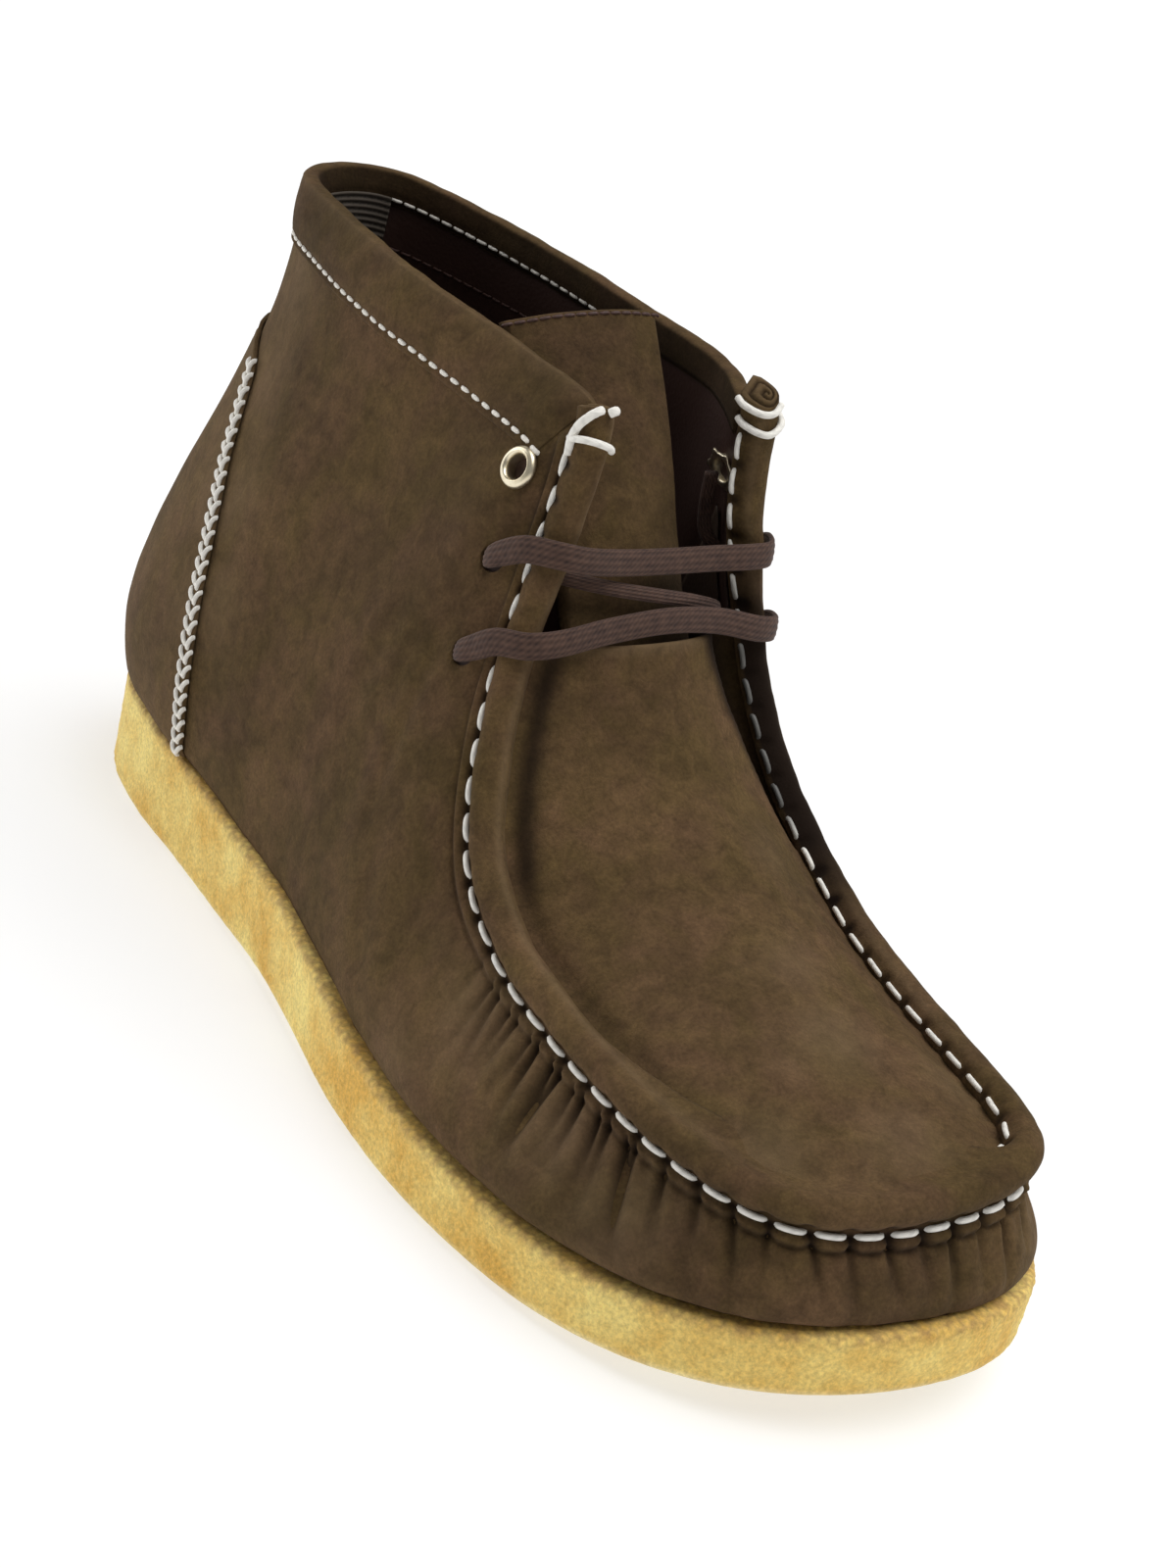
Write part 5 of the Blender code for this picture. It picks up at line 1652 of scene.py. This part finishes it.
# Low down, and towards the medial side, it lies in shade
shade = TONGUE_SHADE * step_down(front[..., 2], TONGUE_SHADE_TOP, 4.0) * smooth((across - 0.3) / 0.45)[None]
tongue = sheet("tongue_flap", front - away * TONGUE_THICK, away, TONGUE_THICK, TONGUE_ROUND, tongue_look,
               sunk=shade)
keep(tongue, "nubuck", "tongue")
from_top = np.linalg.norm(front[-1] - front, axis=-1).mean(axis=1)
sewn = np.argmin(np.abs(from_top - TONGUE_SEWN))
stitch_row("tongue_stitches", front[sewn, 3:-3] + away[sewn] * 0.05,
           np.repeat(away[sewn], len(across) - 6, axis=0), brown_thread,
           Pitch=2.6, Dash=2.0, Thread=0.7, **{**FINE_SIZES, "Lift": 0.3})


# ---- Eyelets -------------------------------------------------------------------------------------
# A small brass eyelet in each quarter, pressed from sheet. It is turned over outside in a round lip, goes
# through nubuck and lining, and is set inside in a rough star.

# The radii of its lip, bore and neck, where its face lies, how high the lip stands and how far the star's
# points reach out
EYELET_RADIUS = 4.4
EYELET_BORE = 2.5
EYELET_NECK = 3.1
EYELET_FACE = 0.25
EYELET_LIP = 1.25
EYELET_STAR = 0.9
STAR_POINTS = 6
EYELET_AROUND = 64
BRASS_DULL = (0.62, 0.51, 0.33)
BRASS_BRIGHT = (1.0, 0.93, 0.74)

brass = Finish("brass", 0.36, 1.0)
brass_look = brass.dress(brass.ramp(brass.noise(700.0, 3.0), BRASS_DULL, BRASS_BRIGHT))

# The ring's section: radius and height off the wall
back = -LINED - 1.4
middle, reach = (EYELET_RADIUS + EYELET_BORE) / 2, (EYELET_RADIUS - EYELET_BORE) / 2
section = [(EYELET_NECK, EYELET_FACE)]
for turn in np.linspace(0, math.pi, 15):
    rise = EYELET_LIP * math.sin(turn) + EYELET_FACE * (turn > math.pi / 2 + SMALL)
    section.append((middle + reach * math.cos(turn), EYELET_FACE + rise))
section += [(EYELET_BORE, 0.0), (EYELET_BORE, back + 0.4), (EYELET_BORE + 0.3, back)]
section += [(EYELET_BORE + 1.1, back - 0.15), (EYELET_BORE + 1.5, back + 0.25), (EYELET_NECK, back + 0.75)]
count = len(section)
radius, height = np.array(section).T
turns = full_turn(EYELET_AROUND)
star = np.zeros((EYELET_AROUND, count))
star[:, -3:-1] = EYELET_STAR * np.maximum(0.0, np.cos(STAR_POINTS * turns))[:, None]
faces = grid(EYELET_AROUND, count, closed=True)
faces += joined(list(range((EYELET_AROUND - 1) * count, EYELET_AROUND * count)), list(range(count)))
for name, medial in (("eyelet_lateral", False), ("eyelet_medial", True)):
    centre, away = hole("top", medial)
    side = unit(np.cross(away, (0.0, 0.0, 1.0)))
    spokes = side * np.cos(turns)[:, None] + np.cross(side, away) * np.sin(turns)[:, None]
    rings = centre + spokes[:, None] * (radius + star)[..., None] + away * height[:, None]
    keep(piece(name + "_ring", rings, faces, brass_look), "eyelet", name)


# ---- Lace ----------------------------------------------------------------------------------------
# One flat woven lace, dark brown, that crosses the throat twice over both ridges. It is gathered in its
# holes, and both ends stop inside, behind the eyelets.

# The lace's way through the boot: each point's place, and how wide and how thick the lace lies there
LACE_ROUTE = (
    # from behind the lateral eyelet down to the low hole
    (-20.3, 6.8, 126.0, 3.0, 2.2),
    (-21.8, 8.5, 119.0, 3.0, 2.2),
    (-25.0, 10.0, 109.5, 3.0, 2.2),
    (-27.5, 7.5, 99.0, 3.0, 2.2),
    (-29.0, 3.5, 92.0, 3.0, 2.4),
    (-31.5, 1.0, 90.3, 3.0, 3.0),
    (-34.0, 0.2, 91.2, 3.0, 3.0),
    # the low bar, over both ridges
    (-36.0, -1.6, 92.5, 4.4, 2.2),
    (-35.6, -5.0, 94.8, 5.2, 1.8),
    (-34.4, -9.9, 98.2, 5.5, 1.8),
    (-31.1, -15.6, 99.6, 5.5, 1.8),
    (-24.5, -17.6, 100.8, 5.5, 1.8),
    (-12.0, -17.2, 102.6, 5.5, 1.8),
    (2.0, -17.4, 104.0, 5.5, 1.8),
    (15.5, -17.2, 103.2, 5.5, 1.8),
    (27.2, -17.8, 101.0, 5.5, 1.8),
    (33.9, -15.8, 99.8, 5.5, 1.8),
    (37.6, -10.2, 98.3, 5.5, 1.8),
    (38.6, -5.2, 95.2, 5.0, 1.8),
    (38.3, -1.8, 92.9, 4.4, 2.2),
    (36.2, -0.6, 92.0, 3.0, 3.0),
    # inside, across the tongue and up to the lateral middle hole
    (32.8, -0.4, 91.6, 3.0, 2.8),
    (29.0, -3.6, 94.5, 3.0, 2.2),
    (24.0, -7.6, 99.5, 3.0, 2.2),
    (19.5, -11.8, 103.5, 3.0, 2.2),
    (11.0, -14.0, 106.3, 3.0, 2.2),
    (0.0, -14.4, 108.3, 3.0, 2.2),
    (-10.0, -12.2, 109.3, 3.0, 2.2),
    (-17.0, -7.6, 109.5, 3.0, 2.2),
    (-21.0, -2.4, 109.3, 3.0, 2.2),
    (-23.8, 2.4, 108.6, 3.0, 2.6),
    (-26.4, 4.4, 108.9, 3.0, 3.0),
    (-28.8, 3.8, 109.5, 3.0, 3.0),
    # the middle bar
    (-31.0, 2.0, 110.8, 4.4, 2.2),
    (-30.6, -1.4, 113.2, 5.2, 1.8),
    (-29.1, -6.4, 116.0, 5.5, 1.8),
    (-25.2, -12.0, 116.8, 5.5, 1.8),
    (-18.8, -13.4, 116.0, 5.5, 1.8),
    (-8.0, -12.6, 115.0, 5.5, 1.8),
    (4.0, -12.4, 114.8, 5.5, 1.8),
    (15.0, -13.0, 115.2, 5.5, 1.8),
    (23.6, -14.0, 115.6, 5.5, 1.8),
    (29.6, -13.0, 115.6, 5.5, 1.8),
    (34.0, -7.6, 115.0, 5.5, 1.8),
    (35.9, -2.8, 112.8, 5.0, 1.8),
    (35.8, 1.0, 110.9, 4.4, 2.2),
    (33.5, 2.8, 110.1, 3.0, 3.0),
    # up inside to behind the medial eyelet
    (30.5, 4.4, 110.2, 3.0, 2.8),
    (28.1, 5.8, 113.6, 3.0, 2.2),
    (27.0, 6.3, 119.5, 3.0, 2.2),
    (26.0, 5.8, 126.0, 3.0, 2.2),
)
LACE_STEPS = 10
LACE_AROUND = 72
# The ribs along each face, how high they stand, and the pitch of the weave across them
LACE_RIBS = 6
RIB_HEIGHT = 0.07
WEAVE_PITCH = 1.3
# Which way the lace's broad side stands
LACE_STANDS = np.array([0.0, 0.15, 1.0])
LACE_DARK = (0.026, 0.011, 0.008)
LACE_BROWN = (0.112, 0.058, 0.038)

woven = Finish("lace_cotton", 0.85)
rib_turn = woven.math("MULTIPLY", woven.mark("around"), 2 * math.pi * LACE_RIBS * 2)
slant = woven.math("MULTIPLY_ADD", woven.mark("along"), 2 * math.pi / WEAVE_PITCH, rib_turn)
ribbing = woven.math("MULTIPLY", woven.math("COSINE", rib_turn), 0.3)
weave = woven.math("MULTIPLY_ADD", woven.math("SINE", slant), 0.35, ribbing)
fuzzy = woven.math("MULTIPLY_ADD", woven.noise(600.0, 4.0), 2.4, weave)
level = woven.stretch(fuzzy, 0.2, 2.2)
# The weave's hollows are painted darker, as shade, and a fine noise varies the tone at random
tone = woven.ramp(level, LACE_DARK, LACE_BROWN)
woven.shader["Sheen Weight"].default_value = 0.05
lace_look = woven.dress(tone, level, 0.5, 0.0002)

places = np.linspace(0, len(LACE_ROUTE) - 1, LACE_STEPS * (len(LACE_ROUTE) - 1) + 1)
route = through(LACE_ROUTE, places)
centre, width, thick = route[:, :3], route[:, 3], route[:, 4]
ahead = unit(np.gradient(centre, axis=0))
# The lace's broad way: it turns slowly back to standing upright, except where the lace itself climbs
wide = np.empty_like(centre)
held = LACE_STANDS
for k, way in enumerate(ahead):
    steep = abs(way[2]) ** 2
    held = held * (0.8 + 0.2 * steep) + LACE_STANDS * 0.2 * (1 - steep)
    held = held - way * held.dot(way)
    held = held / np.linalg.norm(held)
    wide[k] = held
face = np.cross(ahead, wide)
turns = full_turn(LACE_AROUND)
flat = np.abs(np.sin(turns)) ** 0.6 * np.sign(np.sin(turns))
ribs = 1 + RIB_HEIGHT * np.cos(turns * 2 * LACE_RIBS)
cross = wide[:, None] * (width[:, None] / 2 * np.cos(turns)[None])[..., None]
cross += face[:, None] * (thick[:, None] / 2 * 0.9 * (flat * ribs)[None])[..., None]
lace = tube("lace_weave", centre[:, None] + cross, lace_look, run_along(centre), turns)
keep(lace, "lace", "lace")
